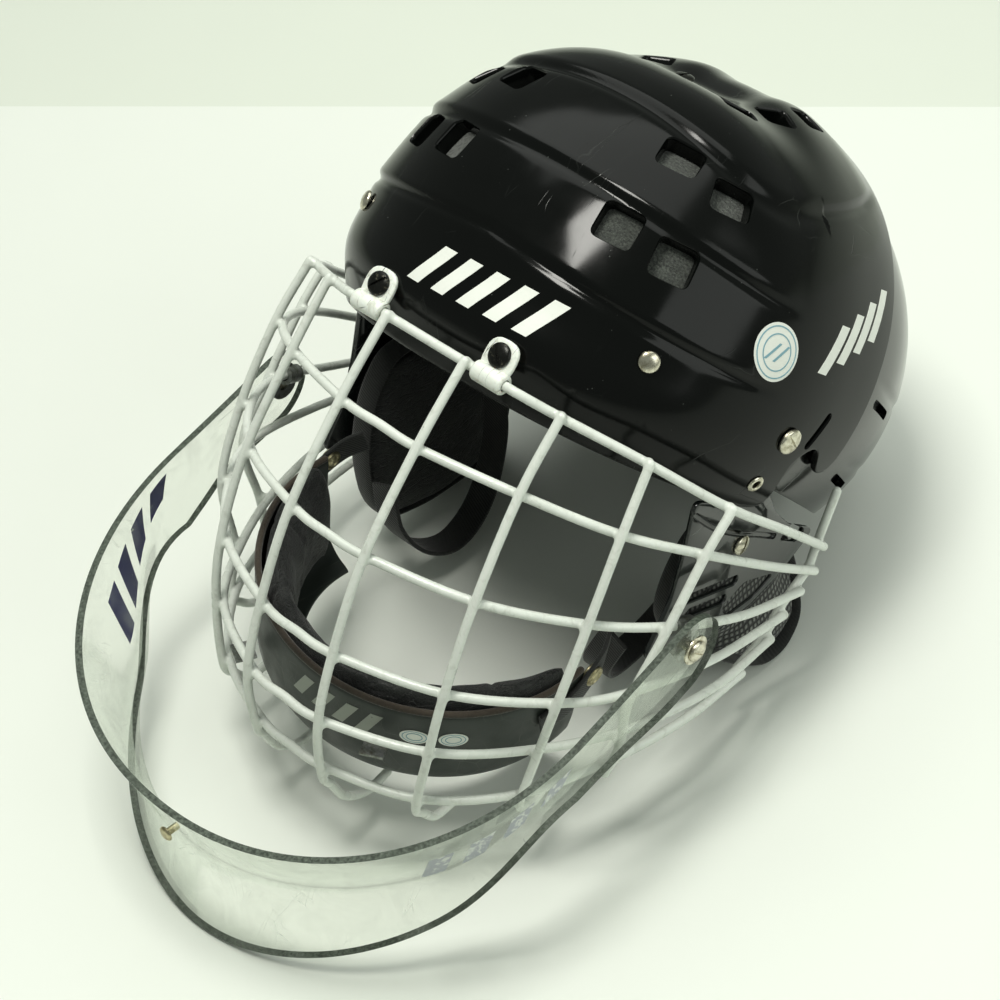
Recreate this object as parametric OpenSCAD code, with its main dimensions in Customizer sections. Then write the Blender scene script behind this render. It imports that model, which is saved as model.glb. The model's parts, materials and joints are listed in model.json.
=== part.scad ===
// Two-piece hockey helmet with a hinged wire face cage, a chin cup and a clear throat guard.
// The helmet rests on a flat surface on its throat guard, its ear pads and the nape of its shell.
// +Z is up from that surface, the face looks towards -Y and +X is the wearer's left.

/* [Resting place] */
// Height of the brow bar above the surface
bar_height = 195.1; // [195:0.1:200]
// Distance of the brow bar in front of the origin
bar_front = 28.5; // [20:0.5:40]
// How far the whole helmet leans back as it rests
lean_back = 8.4; // [8:0.1:9]

/* [Shell] */
// Half the outside width of the front shell
shell_half_w = 108; // [104:1:110]
// Outside length of the front shell, from its middle to the forehead
shell_front = 122; // [120:1:124]
// Outside length of the rear shell, from its middle to the nape
shell_rear = 138; // [134:1:142]
// Outside height of the shell above its middle
shell_high = 109; // [106:1:111]
// Squareness of the shell's outline seen from above
shell_square = 2.4; // [2:0.1:2.8]
// Depth of the hollow in the crown
crown_dip = 9; // [0:0.5:10]
// Wall thickness of both shells
shell_wall = 3; // [2.5:0.5:4]
// Gap between the front shell and the rear shell inside it
shell_gap = 1.5; // [1.2:0.1:2]
// Angle between the shell and the cage when the cage is down
shell_tip = 39.5; // [38:0.5:41]
// Thickness of the foam liner
liner_t = 12; // [8:1:14]

/* [Cage] */
// Diameter of the coated cage wire
wire_d = 4; // [3.6:0.2:4.4]
// Distance between crossing wires' centre lines, just under one wire where they are welded
weld_step = 3.4; // [3:0.1:3.7]

/* [Throat guard] */
// Thickness of the clear sheet
guard_t = 3; // [2:0.5:4]
// Half the distance between the guard's two arms
guard_half_w = 119; // [118:0.5:122]
// Radius of the round tab at the end of each arm
tab_r = 15; // [12:0.5:16]

/* [Fasteners] */
// Radius of the head of the size adjusting screw
adjust_head_r = 5.5; // [5:0.5:6]
// Radius of the head of the small screws
screw_head_r = 4.5; // [4:0.5:5]
// Radius of the hole through each side eyelet
eyelet_bore_r = 1.7; // [1.5:0.1:2]

/* [Hidden] */
$fn = 48;
wire_r = wire_d / 2;
bar_y = -bar_front;
shell_mid = [0, 118, -54];
cage_core = [0, 60, -80];
hinge_gap = 0.4;

brow_flare = 0.05;
brow_flare_at = -20;
brow_flare_span = 14;

// Half routes of the six level bars, from the middle to the wearer's left
bars = [
    [[0, 0, 0], [22, 0, 0], [40, 0, 0], [46, 0.8, -0.8], [60, 8, -8], [88, 24, -23], [109, 49, -49], [114, 82, -80],
     [112, 114, -112]],
    [[0, -27, -25], [20, -26, -26], [60, -14, -32], [92, 6, -45], [109, 34, -63], [115, 72, -92],
     [113, 108, -121]],
    [[0, -57, -61], [20, -55, -62], [62, -40, -68], [93, -14, -77], [109, 14, -88], [115, 55, -108],
     [114, 98, -125]],
    [[0, -76, -100], [20, -74, -101], [62, -57, -105], [93, -29, -109], [108, -4, -112], [114, 42, -123],
     [112, 91, -135]],
    [[0, -85, -130], [20, -83, -131], [60, -64, -134], [86, -31, -139], [103, 4, -142], [112, 45, -144],
     [110, 86, -147]],
    [[0, -84, -159], [19, -82, -160], [56, -67, -162], [84, -38, -161], [99, 0, -160], [106, 38, -160],
     [107, 72, -159]]
];

// Routes of the uprights on the wearer's left, from the brow bar down
uprights = [
    [[20, 0, 0], [20, -26, -26], [20, -55, -62], [20, -74, -101], [20, -83, -131], [19, -82, -160]],
    [[60, 8, -8], [60, -14, -32], [62, -40, -68], [62, -57, -105], [60, -64, -134], [56, -67, -162]],
    [[89, 24, -23], [92, 6, -45], [94, -14, -77], [93, -29, -109], [86, -31, -139], [84, -38, -161]],
    [[109, 49, -49], [109, 34, -63], [109, 14, -88], [108, -4, -112], [103, -2, -142], [98, -4, -161]]
];

// Ends of the uprights, turned in under the chin
upright_tails = [
    [[20, -81, -170], [20, -74, -183], [20, -62, -190], [20, -50, -188]],
    [[56, -65, -172], [56, -58, -180], [56, -48, -180]],
    [[84, -36, -170], [83, -29, -174], [82, -21, -172]],
    []
];

// Route of the side rail that closes the ends of the level bars on the wearer's left
side_rail = [[112, 124, -90], [112, 114, -112], [113, 108, -121], [114, 98, -125],
             [112, 91, -135], [110, 86, -147], [107, 72, -159]];

// ---- shared geometry ----

function unit(v) = v / norm(v);
function flip(p) = [-p.x, p.y, p.z];
function reverse(list) = [for (i = [len(list) - 1 : -1 : 0]) list[i]];
function whole(half) = concat([for (p = reverse(half)) if (p.x > 0) flip(p)], half);
function spow(v, e) = sign(v) * pow(abs(v), e);

// A smooth curve through the points of a route
function curve_at(a, b, c, d, t) =
    0.5 * (2 * b + (c - a) * t + (2 * a - 5 * b + 4 * c - d) * t * t + (3 * b - a - 3 * c + d) * t * t * t);
function smooth(route, steps) = let (n = len(route)) concat(
    [for (i = [0 : n - 2], s = [0 : steps - 1])
        curve_at(i == 0 ? 2 * route[0] - route[1] : route[i - 1], route[i], route[i + 1],
                 i == n - 2 ? 2 * route[n - 1] - route[n - 2] : route[i + 2], s / steps)],
    [route[n - 1]]);

// A round bar swept along points; side is never parallel to the route
module rod(points, r, side, sides = 8) {
    n = len(points);
    function along(i) = unit(points[min(i + 1, n - 1)] - points[max(i - 1, 0)]);
    rings = [for (i = [0 : n - 1]) let (t = along(i), a = unit(cross(side, t)), b = cross(t, a))
        [for (k = [0 : sides - 1]) points[i] + r * (cos(360 * k / sides) * a - sin(360 * k / sides) * b)]];
    skin(rings);
}

// A closed solid through rings of equally many points, capped at both ends
module skin(rings) {
    n = len(rings);
    m = len(rings[0]);
    walls = [for (i = [0 : n - 2], k = [0 : m - 1], h = [0, 1]) let (j = (k + 1) % m)
        h == 0 ? [i * m + k, i * m + j, (i + 1) * m + j] : [i * m + k, (i + 1) * m + j, (i + 1) * m + k]];
    first = [for (k = [m - 1 : -1 : 0]) k];
    last = [for (k = [0 : m - 1]) (n - 1) * m + k];
    polyhedron([for (ring = rings, p = ring) p], concat(walls, [first], [last]), convexity = 8);
}

// From the cage's own frame, with its origin at the middle of the brow bar, to the resting place
module resting() { translate([0, bar_y, bar_height]) rotate([-lean_back, 0, 0]) children(); }
// From the shell's own frame to the cage's
module in_shell() { translate(shell_mid) rotate([-shell_tip, 0, 0]) children(); }
module tipped() { resting() in_shell() children(); }
module both_sides() { children(); mirror([1, 0, 0]) children(); }
module side_of(s) { if (s > 0) children(); else mirror([1, 0, 0]) children(); }

// ---- the shell's form, in its own tipped frame: x across, y along to the nape, z to the crown ----

// The forehead's lower edge flares out a little
function flare(y, z) = y < 0 ? 1 + brow_flare * exp(-pow((z - brow_flare_at) / brow_flare_span, 2)) : 1;

// The crown sinks a little behind the hump at its front
function dip(x, y) = crown_dip * exp(-pow((y + 30) / 20, 2) - pow(x / 50, 2));

// Point of the dome at an angle round from the forehead and an angle up, inset from the outside
function dome(turn, rise, inset, rear) = let (
    e = 2 / shell_square,
    z = (shell_high - inset) * sin(rise),
    x = (shell_half_w - inset) * cos(rise) * spow(sin(turn), e),
    y = -((cos(turn) > 0 ? shell_front : rear) - inset) * cos(rise) * spow(cos(turn), e))
    [x, y * flare(y, z), z - (rise > 0 ? dip(x, y) : 0)];

// Outward direction of the dome at a point on it
function outward(p) = let (
    b = p.y < 0 ? shell_front : shell_rear,
    g = pow(abs(p.x) / shell_half_w, shell_square) + pow(abs(p.y) / b, shell_square),
    k = 2 * pow(g, 2 / shell_square - 1))
    unit([k * spow(p.x / shell_half_w, shell_square - 1) / shell_half_w,
          k * spow(p.y / b, shell_square - 1) / b, 2 * p.z / pow(shell_high, 2)]);

// Points on the outside: above a place in plan, in front of a place, and beside a place
function above(x, y) = let (b = y < 0 ? shell_front : shell_rear,
    g = pow(pow(abs(x) / shell_half_w, shell_square) + pow(abs(y) / b, shell_square), 2 / shell_square))
    [x, y, shell_high * sqrt(1 - g) - dip(x, y)];
function before(x, z) = let (
    g = pow(1 - pow(z / shell_high, 2), shell_square / 2) - pow(abs(x) / shell_half_w, shell_square))
    [x, -shell_front * pow(g, 1 / shell_square) * flare(-1, z), z];
function beside(y, z) = let (b = y < 0 ? shell_front : shell_rear,
    g = pow(1 - pow(z / shell_high, 2), shell_square / 2) - pow(abs(y) / b, shell_square))
    [shell_half_w * pow(g, 1 / shell_square), y * flare(y, z), z];

// Stands children up along the outward direction at a point of the dome
module stand(p) {
    n = outward(p);
    translate(p) rotate([0, acos(n.z), atan2(n.y, n.x)]) children();
}

// A dome-shaped wall between two insets, from a low angle up to the crown
module dome_wall(outer, inner, low, columns = 56, rows = 13, rear = shell_rear) {
    angles = [for (i = [0 : rows - 1]) low + (90 - low) * i / rows];
    function ring(inset, rise) = [for (k = [0 : columns - 1]) dome(360 * k / columns, rise, inset, rear)];
    points = concat([for (a = angles, p = ring(outer, a)) p], [dome(0, 90, outer, rear)],
                    [for (a = angles, p = ring(inner, a)) p], [dome(0, 90, inner, rear)]);
    half = rows * columns + 1;
    function quads(base, out) = [for (i = [0 : rows - 2], k = [0 : columns - 1], h = [0, 1])
        let (j = (k + 1) % columns, a = base + i * columns + k, b = base + i * columns + j,
             c = b + columns, d = a + columns, f = h == 0 ? [a, b, c] : [a, c, d])
        out ? f : reverse(f)];
    function cap(base, out) = [for (k = [0 : columns - 1])
        let (a = base + (rows - 1) * columns + k, b = base + (rows - 1) * columns + (k + 1) % columns,
             f = [a, b, base + rows * columns])
        out ? f : reverse(f)];
    rim = [for (k = [0 : columns - 1], h = [0, 1])
        let (j = (k + 1) % columns)
        h == 0 ? [j, k, half + k] : [j, half + k, half + j]];
    faces = concat(quads(0, false), cap(0, false), quads(half, true), cap(half, true), reverse_all(rim));
    polyhedron(points, faces, convexity = 10);
}
function reverse_all(faces) = [for (f = faces) reverse(f)];

// A side outline in the tipped frame, extruded across the whole helmet
module across(outline, round_r = 4) {
    rotate([90, 0, 90]) translate([0, 0, -150]) linear_extrude(300)
        offset(round_r, $fn = 24) offset(-round_r, $fn = 24) polygon(outline);
}

front_outline = [[-170, -42], [-24, -42], [-10, -40], [-17, -16], [-9, -8], [-3, -9], [4, -20],
                 [15, -17], [21, 26], [29, 66], [44, 112], [50, 150], [-170, 150]];
rear_outline = [[-8, -32], [24, -36], [70, -42], [170, -52], [170, 150], [30, 150], [20, 110], [6, 66],
                [-2, 26]];
front_foam_outline = [[-170, -36], [-50, -36], [-50, -10], [-26, 26], [-18, 66], [-8, 150], [-170, 150]];
rear_foam_outline = [[6, -6], [34, -26], [70, -36], [170, -46], [170, 150], [36, 150], [26, 110], [12, 66],
                     [6, 26]];

// A rounded window cut square to the dome
module window(w) {
    stand(above(w[0], w[1])) rotate(w[4]) hull() for (i = [-1, 1], j = [-1, 1])
        translate([i * (w[2] / 2 - 2.5), j * (w[3] / 2 - 2.5), -9]) cylinder(r = 2.5, h = 18, $fn = 16);
}

// Windows on the wearer's left: place across, place along, length, width and turn about its middle
windows = [[42, -108.5, 15, 16, 0], [64.5, -98, 15, 16, 0], [40.5, -87, 14, 16, 0], [63, -77.5, 14, 16, 0],
           [27.5, -43, 12, 15, 15], [31, -20, 13, 14, 0], [32, 2, 13, 13, 0], [30, 22, 12, 12, 0]];

// Fixing places on the wearer's left
rivet_place = beside(-98, -2);
adjust_place = beside(-28.5, -9.5);
eyelet_place = beside(-29, -30.5);
crown_place = above(0, -45);
slot_from = beside(-14, -9);
slot_to = beside(-10, 4);

module hole(p, r, deep = 20) { stand(p) translate([0, 0, -deep / 2]) cylinder(r = r, h = deep); }

// ---- shells and linings ----

module front_shell() {
    color("#121314") resting() difference() {
        in_shell() difference() {
            intersection() {
                dome_wall(0, shell_wall, -30);
                across(front_outline);
            }
            both_sides() {
                for (w = windows) window(w);
                hull() {
                    hole(slot_from, 1.6);
                    hole(slot_to, 1.6);
                }
                hole(adjust_place, 2.3);
                hole(eyelet_place, 2.6);
                hole(rivet_place, 2.2);
            }
            hole(crown_place, 2.2);
        }
        both_sides() on_clip() cylinder(r = 2.3, h = 40, center = true);
    }
}

rear_out = shell_wall + shell_gap;
size_travel = 8;
size_way = [0, cos(shell_tip), -sin(shell_tip)];

module rear_shell() {
    color("#141516") tipped() difference() {
        intersection() {
            dome_wall(rear_out, rear_out + shell_wall, -28, rear = shell_rear + rear_out + 2);
            across(rear_outline);
        }
        both_sides() {
            hull() {
                hole(adjust_place, 2.8);
                translate([0, size_travel, 0]) hole(adjust_place, 2.8);
            }
            for (i = [0 : 4]) window([30, 44 + 6 * i, 3, 16, 0]);
            for (z = [-22, 14]) hull() {
                hole(beside(40, z), 2);
                hole(beside(62, z - 4), 2);
            }
        }
    }
}

foam_in = shell_wall + 1.6;
rear_foam_in = rear_out + shell_wall + 1.6;

module front_liner() {
    color("#6a6d69") tipped() intersection() {
        dome_wall(foam_in, foam_in + liner_t, -26, 40, 9);
        across(front_foam_outline);
    }
}

module rear_liner() {
    color("#6a6d69") tipped() intersection() {
        dome_wall(rear_foam_in, rear_foam_in + liner_t - 4, -25, 40, 9, rear = shell_rear + rear_out + 2);
        across(rear_foam_outline);
    }
}

// Sweat pad inside the brow, a bent slab that follows the liner
module brow_pad() {
    inset = foam_in + liner_t + 1.6;
    rings = [for (a = [-52 : 8 : 52]) [for (c = [[-19, 0], [-3, 0], [-3, 9], [-19, 9]])
        dome(a, c[0], inset + c[1], shell_rear)]];
    color("#1b1c1c") tipped() skin(rings);
}

module nape_pad() {
    inset = rear_foam_in + liner_t - 2;
    rings = [for (a = [145 : 7 : 215]) [for (c = [[-16, 0], [-2, 0], [-2, 8], [-16, 8]])
        dome(a, c[0], inset + c[1], shell_rear + rear_out + 2)]];
    color("#1b1c1c") tipped() skin(rings);
}

// ---- ear guards ----

ear_x = 91.5;
ear_plate_t = 2.5;
ear_outline = [[50, -57], [44, -85], [38, -104], [23, -125], [60, -142], [92, -143], [110, -138], [128, -129],
               [132, -125], [115, -112], [104, -98], [96, -78], [88, -63], [82, -52], [70, -50], [72, -70],
               [64, -66]];
ear_slots = [[[48, -108], [79, -119]], [[50, -117], [72, -125]]];
ear_window = [[72, -130], [86, -125], [106, -134], [94, -138], [76, -137]];
ear_back_window = [[108, -116], [116, -112], [126, -122], [120, -125]];
ear_screw_at = [81, -100];
boss_r = 4.5;

module in_side_plane(x) { translate([x, 0, 0]) rotate([90, 0, 90]) children(); }
module plate_hole() { translate([0, 0, -1]) linear_extrude(ear_plate_t + 2) children(); }

module ear_guard(s) {
    color("#2b2f2e") resting() side_of(s) difference() {
        union() {
            in_side_plane(ear_x) linear_extrude(ear_plate_t) offset(4) offset(-4) polygon(ear_outline);
            in_shell() stand(eyelet_place) translate([0, 0, -9.5]) cylinder(r = boss_r, h = 8.6 - shell_wall);
        }
        in_side_plane(ear_x) {
            for (slot = ear_slots) plate_hole() hull() for (end = slot) translate(end) circle(r = 2.2);
            plate_hole() offset(2) offset(-2) polygon(ear_window);
            plate_hole() offset(2) offset(-2) polygon(ear_back_window);
            translate([ear_screw_at[0], ear_screw_at[1], -1]) cylinder(r = 2.1, h = ear_plate_t + 2);
        }
        in_shell() hole(eyelet_place, 2.6, 40);
    }
}

// Level sections of the pads: height, front, back, inner and outer side; the right one hangs further forward
ear_pad_left_sections = [[-92, 66, 98, 77, 88], [-106, 54, 110, 75, 89.5], [-126, 48, 122, 75, 89.5],
                         [-146, 58, 129, 77, 91], [-160, 72, 129, 81, 94], [-172, 86, 126, 86, 97],
                         [-180.4, 100, 114, 90, 98]];
ear_pad_right_sections = [[-84, 54, 94, 77, 88], [-100, 42, 108, 75, 89.5], [-126, 36, 120, 75, 89.5],
                          [-150, 38, 127, 75, 90], [-165, 43, 125, 76, 91], [-175, 52, 121, 78, 91],
                          [-181.5, 76, 106, 80, 91]];

module ear_pad(s) {
    rings = [for (c = s > 0 ? ear_pad_left_sections : ear_pad_right_sections)
        let (z = c[0], front = c[1], back = c[2], inner = c[3], outer = c[4], bevel = min(4, (outer - inner) / 3))
        [[inner + bevel, front, z], [outer - bevel, front, z], [outer, front + bevel, z], [outer, back - bevel, z],
         [outer - bevel, back, z], [inner + bevel, back, z], [inner, back - bevel, z], [inner, front + bevel, z]]];
    color("#1d1f1f") resting() side_of(s) skin(rings);
}

// Webbing sling that hangs in a loop inside the ear guard, down to the surface
module ear_strap(s) {
    route = smooth([[72, 104, -114], [66, 100, -142], [60, 84, -168], [57, 62, -178], [60, 44, -172],
                    [66, 34, -156], [73, 36, -138]], 4);
    n = len(route);
    rings = [for (i = [0 : n - 1]) let (t = unit(route[min(i + 1, n - 1)] - route[max(i - 1, 0)]),
        w = unit([1, 0, 0] - t * t.x), o = cross(t, w))
        [route[i] - 7 * w - o, route[i] + 7 * w - o, route[i] + 7 * w + o, route[i] - 7 * w + o]];
    color("#161717") resting() side_of(s) translate([-5.2, 0, 0]) skin(reverse(rings));
}

// ---- fasteners ----

module slotted_head(r, h, slot_w = 1.2) {
    difference() {
        intersection() {
            cylinder(r = r, h = h);
            translate([0, 0, h - 2 * r]) sphere(r = 2 * r);
        }
        translate([-r - 1, -slot_w / 2, h - 0.9]) cube([2 * r + 2, slot_w, 2]);
    }
}

module adjust_screw(s) {
    color("#b9b7a8") tipped() side_of(s) stand(adjust_place) rotate(65) {
        translate([0, 0, 0.2]) slotted_head(adjust_head_r, 2.6, 1.5);
        translate([0, 0, -12]) cylinder(r = 1.9, h = 12.3);
    }
}

module adjust_nut(s) {
    color("#8d8f8c") tipped() side_of(s) stand(adjust_place) difference() {
        union() {
            translate([0, 0, -10.3]) cylinder(r = 5, h = 1.8);
            translate([0, 0, -14]) cylinder(r = 3, h = 3.8);
        }
        translate([0, 0, -15]) cylinder(r = 1.95, h = 8);
    }
}

module ear_guard_screw(s) {
    color("#c4c2b4") resting() side_of(s)
        translate([ear_x + ear_plate_t, ear_screw_at[0], ear_screw_at[1]]) rotate([0, 90, 0]) rotate(-30) {
            translate([0, 0, 0.05]) slotted_head(screw_head_r, 2.2);
            translate([0, 0, -ear_plate_t - 0.6]) cylinder(r = 2, h = ear_plate_t + 1);
            translate([0, 0, -ear_plate_t - 1]) cylinder(r = 3.4, h = 0.8);
        }
}

eyelet_len = 13.6;

module eyelet(s) {
    color("#b9b7a8") tipped() side_of(s) stand(eyelet_place) difference() {
        union() {
            translate([0, 0, 0.2]) cylinder(r1 = 3.9, r2 = 3.2, h = 0.9);
            translate([0, 0, -eyelet_len]) cylinder(r = 2.4, h = eyelet_len + 0.3);
            translate([0, 0, -eyelet_len - 0.8]) cylinder(r = 3.6, h = 0.9);
        }
        translate([0, 0, -eyelet_len - 2]) cylinder(r = eyelet_bore_r, h = eyelet_len + 6);
    }
}

module dome_rivets() {
    color("#b4b3a6") tipped() both_sides() stand(rivet_place) {
        intersection() {
            translate([0, 0, 0.5]) cylinder(r = 4.2, h = 4);
            translate([0, 0, -2.8]) sphere(r = 5.4);
        }
        translate([0, 0, -shell_wall - 0.3]) cylinder(r = 2, h = shell_wall + 1);
    }
}

module crown_screw() {
    color("#7f7c6d") tipped() stand(crown_place) {
        translate([0, 0, 0.7]) slotted_head(4.2, 1.8);
        translate([0, 0, -shell_wall - 0.4]) cylinder(r = 2, h = shell_wall + 1.2);
    }
}

// ---- brow clips: a loop round the brow bar with a tab screwed to the shell ----

clip_x = 32;
clip_w = 15;
clip_t = 1.8;
loop_in = wire_r + hinge_gap;
tab_rise = 48;
tab_t = 2.1;
tab_top = 0.9;
tab_len = 15.5;
clip_screw_at = 9;

// The clip's own frame: z across the helmet, x along the tab and y out of it
module on_tab() { translate([clip_x, 0, 0]) rotate([0, 90, 0]) rotate(90 + tab_rise) children(); }
module on_clip() { on_tab() translate([clip_screw_at, tab_top, 0]) rotate([-90, 0, 0]) children(); }

module brow_clip(s) {
    color("#eceee6") resting() side_of(s) difference() {
        on_tab() translate([0, 0, -clip_w / 2]) difference() {
            union() {
                cylinder(r = loop_in + clip_t, h = clip_w);
                translate([0, tab_top - tab_t, 0]) cube([tab_len, tab_t, clip_w]);
            }
            translate([0, 0, -1]) cylinder(r = loop_in, h = clip_w + 2);
        }
        on_clip() cylinder(r = 2.2, h = 20, center = true);
    }
}

module brow_screw(s) {
    color("#1a1a1a") resting() side_of(s) on_clip() {
        translate([0, 0, 0.05]) rotate(40) slotted_head(screw_head_r, 2.4);
        translate([0, 0, -9.2]) cylinder(r = 2, h = 9.5);
    }
}

// ---- cage ----

function nudge(p, d) = p + d * unit(p - cage_core);

module bar(i) { color("#dfe6da") resting() rod(smooth(whole(bars[i]), 2), wire_r, [0, 0.5, 1]); }

module upright(i, s) {
    tail = upright_tails[i];
    route = concat([for (p = uprights[i]) nudge(p, weld_step)], tail);
    color("#dfe6da") resting() side_of(s) rod(smooth(route, 2), wire_r, [1, 0, 0]);
}

module rail(s) {
    color("#dfe6da") resting() side_of(s)
        translate([-weld_step, 0, 0]) rod(smooth(side_rail, 2), wire_r, [1, 0, 0]);
}

// ---- chin cup ----

cup_half_w = 76;
cup_deep = 74;
cup_t = 2.5;
cup_tilt = 9;
cup_mid = [0, -60, -130];
function cup_at(a, inset, z) = [(cup_half_w - inset) * sin(a), -(cup_deep - inset) * cos(a), z];

// The cup hangs a little lower on the wearer's left
module tilted_cup() { resting() translate(cup_mid) rotate([0, cup_tilt, 0]) translate(-cup_mid) children(); }

module chin_cup() {
    rings = [for (a = [-96 : 12 : 96])
        [cup_at(a, 0, -119), cup_at(a, 1.2, -150), cup_at(a, 2.2, -160), cup_at(a, 6, -168),
         cup_at(a, 13, -173), cup_at(a, 22, -175), cup_at(a, 22, -172.5), cup_at(a, 14, -170.6),
         cup_at(a, 8.2, -166), cup_at(a, 4.7, -159), cup_at(a, 1.2 + cup_t, -150), cup_at(a, cup_t, -119)]];
    color("#202222") tilted_cup() skin(reverse(rings));
}

module chin_pad() {
    rings = [for (a = [-98 : 14 : 98])
        [cup_at(a, cup_t + 0.6, -118), cup_at(a, cup_t + 2, -150), cup_at(a, cup_t + 3.7, -158.5),
         cup_at(a, 11, -165), cup_at(a, 20, -165), cup_at(a, 17, -146), cup_at(a, 14, -116), cup_at(a, 7, -108)]];
    color("#161616") tilted_cup() skin(reverse(rings));
}

// Steel strip that ties the chin cup to the fifth bar
module chin_clip(s) {
    color("#9b9c97") resting() side_of(s) translate([40, -76.2, -132.5]) rotate([0, 0, 27])
        translate([-5, -1, -9]) cube([10, 9, 1.2]);
}

// ---- throat guard and its clamps ----

pivot = [guard_half_w, 22, -99];
clamp_x = 113.4;
clamp_t = 2.2;
guard_hole_r = 2.9;
stud_at = [-18, -136.6, -183.5];

function guard_line(a, half, front, square, mid = -38) =
    [half * spow(sin(a), 2 / square), mid - front * spow(cos(a), 2 / square)];
function top_z(y) = -110 + 0.3 * (y + 60);

// One ring of the guard's section: top edge, bend and bottom edge, outside then inside
function guard_ring(a) = let (
    top = guard_line(a, guard_half_w, 115, 2.1),
    bend = guard_line(a, 106, 99, 1.85),
    low = guard_line(a, 109, 105, 1.9),
    bend_z = -176 + 0.28 * (bend.y + 120),
    low_z = -204 + 0.6 * (low.y + 120) - 0.5,
    in_x = -guard_t * sin(a), in_y = guard_t * cos(a))
    [[top.x, top.y, top_z(top.y)],
     [bend.x, bend.y, bend_z],
     [low.x, low.y, low_z],
     [low.x + in_x, low.y + in_y, low_z + 0.4],
     [bend.x + in_x, bend.y + in_y, bend_z + 0.6],
     [top.x + in_x, top.y + in_y, top_z(top.y)]];

// A ring of the arm: place along it, top, bottom and how far out its bottom is
function arm_ring(y, top, low, x_low) = let (mid = (top + low) / 2, x_mid = (guard_half_w + x_low) / 2)
    [[guard_half_w, y, top], [x_mid, y, mid], [x_low, y, low],
     [x_low - guard_t, y, low], [x_mid - guard_t, y, mid], [guard_half_w - guard_t, y, top]];
arm_sections = [[-33, -102, -140, 115], [-28, -100, -130, 118],
                [-15, -96.5, -126.5, 119], [9, -89, -124, 119],
                [19, -86, -121, 119], [27, -86.5, -117, 119], [33, -90, -111, 119], [36, -95, -104, 119]];

module throat_guard() {
    arm = [for (c = arm_sections) arm_ring(c[0], c[1], c[2], c[3])];
    mirrored = [for (r = reverse(arm)) [for (p = r) flip(p)]];
    band = [for (a = [-90 : 7.5 : 90]) guard_ring(a)];
    color([0.86, 0.9, 0.85, 0.45]) resting() difference() {
        skin(reverse(concat(mirrored, band, arm)));
        both_sides() translate(pivot) rotate([0, 90, 0]) cylinder(r = guard_hole_r, h = 20, center = true);
        translate(stud_at) rotate([90, 0, 0]) cylinder(r = 1.7, h = 20, center = true);
    }
}

// Sleeve round the third bar, with a flat lug that carries the guard's pivot
grip_line = smooth(whole(bars[2]), 2);
grip_from = grip_line[20];
grip_to = grip_line[21];
sleeve_len = 9;
sleeve_r = 4;
module on_grip() {
    n = unit(grip_to - grip_from);
    translate((grip_from + grip_to) / 2) rotate([0, acos(n.z), atan2(n.y, n.x)]) children();
}

module lug_disc(r, dy, dz) {
    translate([clamp_x, pivot.y + dy, pivot.z + dz]) rotate([0, 90, 0]) cylinder(r = r, h = clamp_t, $fn = 32);
}

module guard_clamp(s) {
    color("#55585a") resting() side_of(s) difference() {
        union() {
            on_grip() cylinder(r = sleeve_r, h = sleeve_len, center = true);
            hull() {
                lug_disc(7, 0, 0);
                lug_disc(4.5, 2, 6);
            }
        }
        on_grip() cylinder(r = wire_r + 0.2, h = sleeve_len + 2, center = true);
        translate([clamp_x, pivot.y, pivot.z]) rotate([0, 90, 0]) cylinder(r = 2.6, h = 8, center = true);
    }
}

// Shouldered screw and washer of the guard's pivot, screwed into the lug
module guard_screw(s) {
    tip_x = clamp_x - guard_half_w + 0.2;
    color("#c9c8bf") resting() side_of(s) translate(pivot) rotate([0, 90, 0]) {
        translate([0, 0, 0.3]) cylinder(r = 6.5, h = 1);
        translate([0, 0, 1.2]) slotted_head(4.6, 2.4);
        translate([0, 0, tip_x]) cylinder(r = 2.4, h = 1.3 - tip_x);
    }
}

module guard_stud() {
    color("#a9a89c") resting() translate(stud_at) rotate([90, 0, 0]) {
        translate([0, 0, 0.2]) cylinder(r1 = 3.4, r2 = 2.6, h = 1.4);
        translate([0, 0, -5.4]) cylinder(r = 1.6, h = 5.8);
        translate([0, 0, -5.8]) cylinder(r = 3, h = 0.8);
    }
}

front_shell();
rear_shell();
front_liner();
rear_liner();
brow_pad();
nape_pad();
ear_guard(1);  // ear_guard_left
ear_guard(-1);  // ear_guard_right
ear_pad(1);  // ear_pad_left
ear_pad(-1);  // ear_pad_right
ear_strap(1);  // ear_strap_left
ear_strap(-1);  // ear_strap_right
adjust_screw(1);  // adjust_screw_left
adjust_screw(-1);  // adjust_screw_right
adjust_nut(1);  // adjust_nut_left
adjust_nut(-1);  // adjust_nut_right
ear_guard_screw(1);  // ear_guard_screw_left
ear_guard_screw(-1);  // ear_guard_screw_right
eyelet(1);  // eyelet_left
eyelet(-1);  // eyelet_right
dome_rivets();
crown_screw();
brow_clip(1);  // brow_clip_left
brow_clip(-1);  // brow_clip_right
brow_screw(1);  // brow_screw_left
brow_screw(-1);  // brow_screw_right
bar(0);  // bar_1
bar(1);  // bar_2
bar(2);  // bar_3
bar(3);  // bar_4
bar(4);  // bar_5
bar(5);  // bar_6
upright(0, 1);  // upright_left_1
upright(1, 1);  // upright_left_2
upright(2, 1);  // upright_left_3
upright(3, 1);  // upright_left_4
upright(0, -1);  // upright_right_1
upright(1, -1);  // upright_right_2
upright(2, -1);  // upright_right_3
upright(3, -1);  // upright_right_4
rail(1);  // side_rail_left
rail(-1);  // side_rail_right
chin_cup();
chin_pad();
chin_clip(1);  // chin_clip_left
chin_clip(-1);  // chin_clip_right
guard_clamp(1);  // guard_clamp_left
guard_clamp(-1);  // guard_clamp_right
guard_screw(1);  // guard_screw_left
guard_screw(-1);  // guard_screw_right
throat_guard();
guard_stud();
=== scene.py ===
import json
import math

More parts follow.
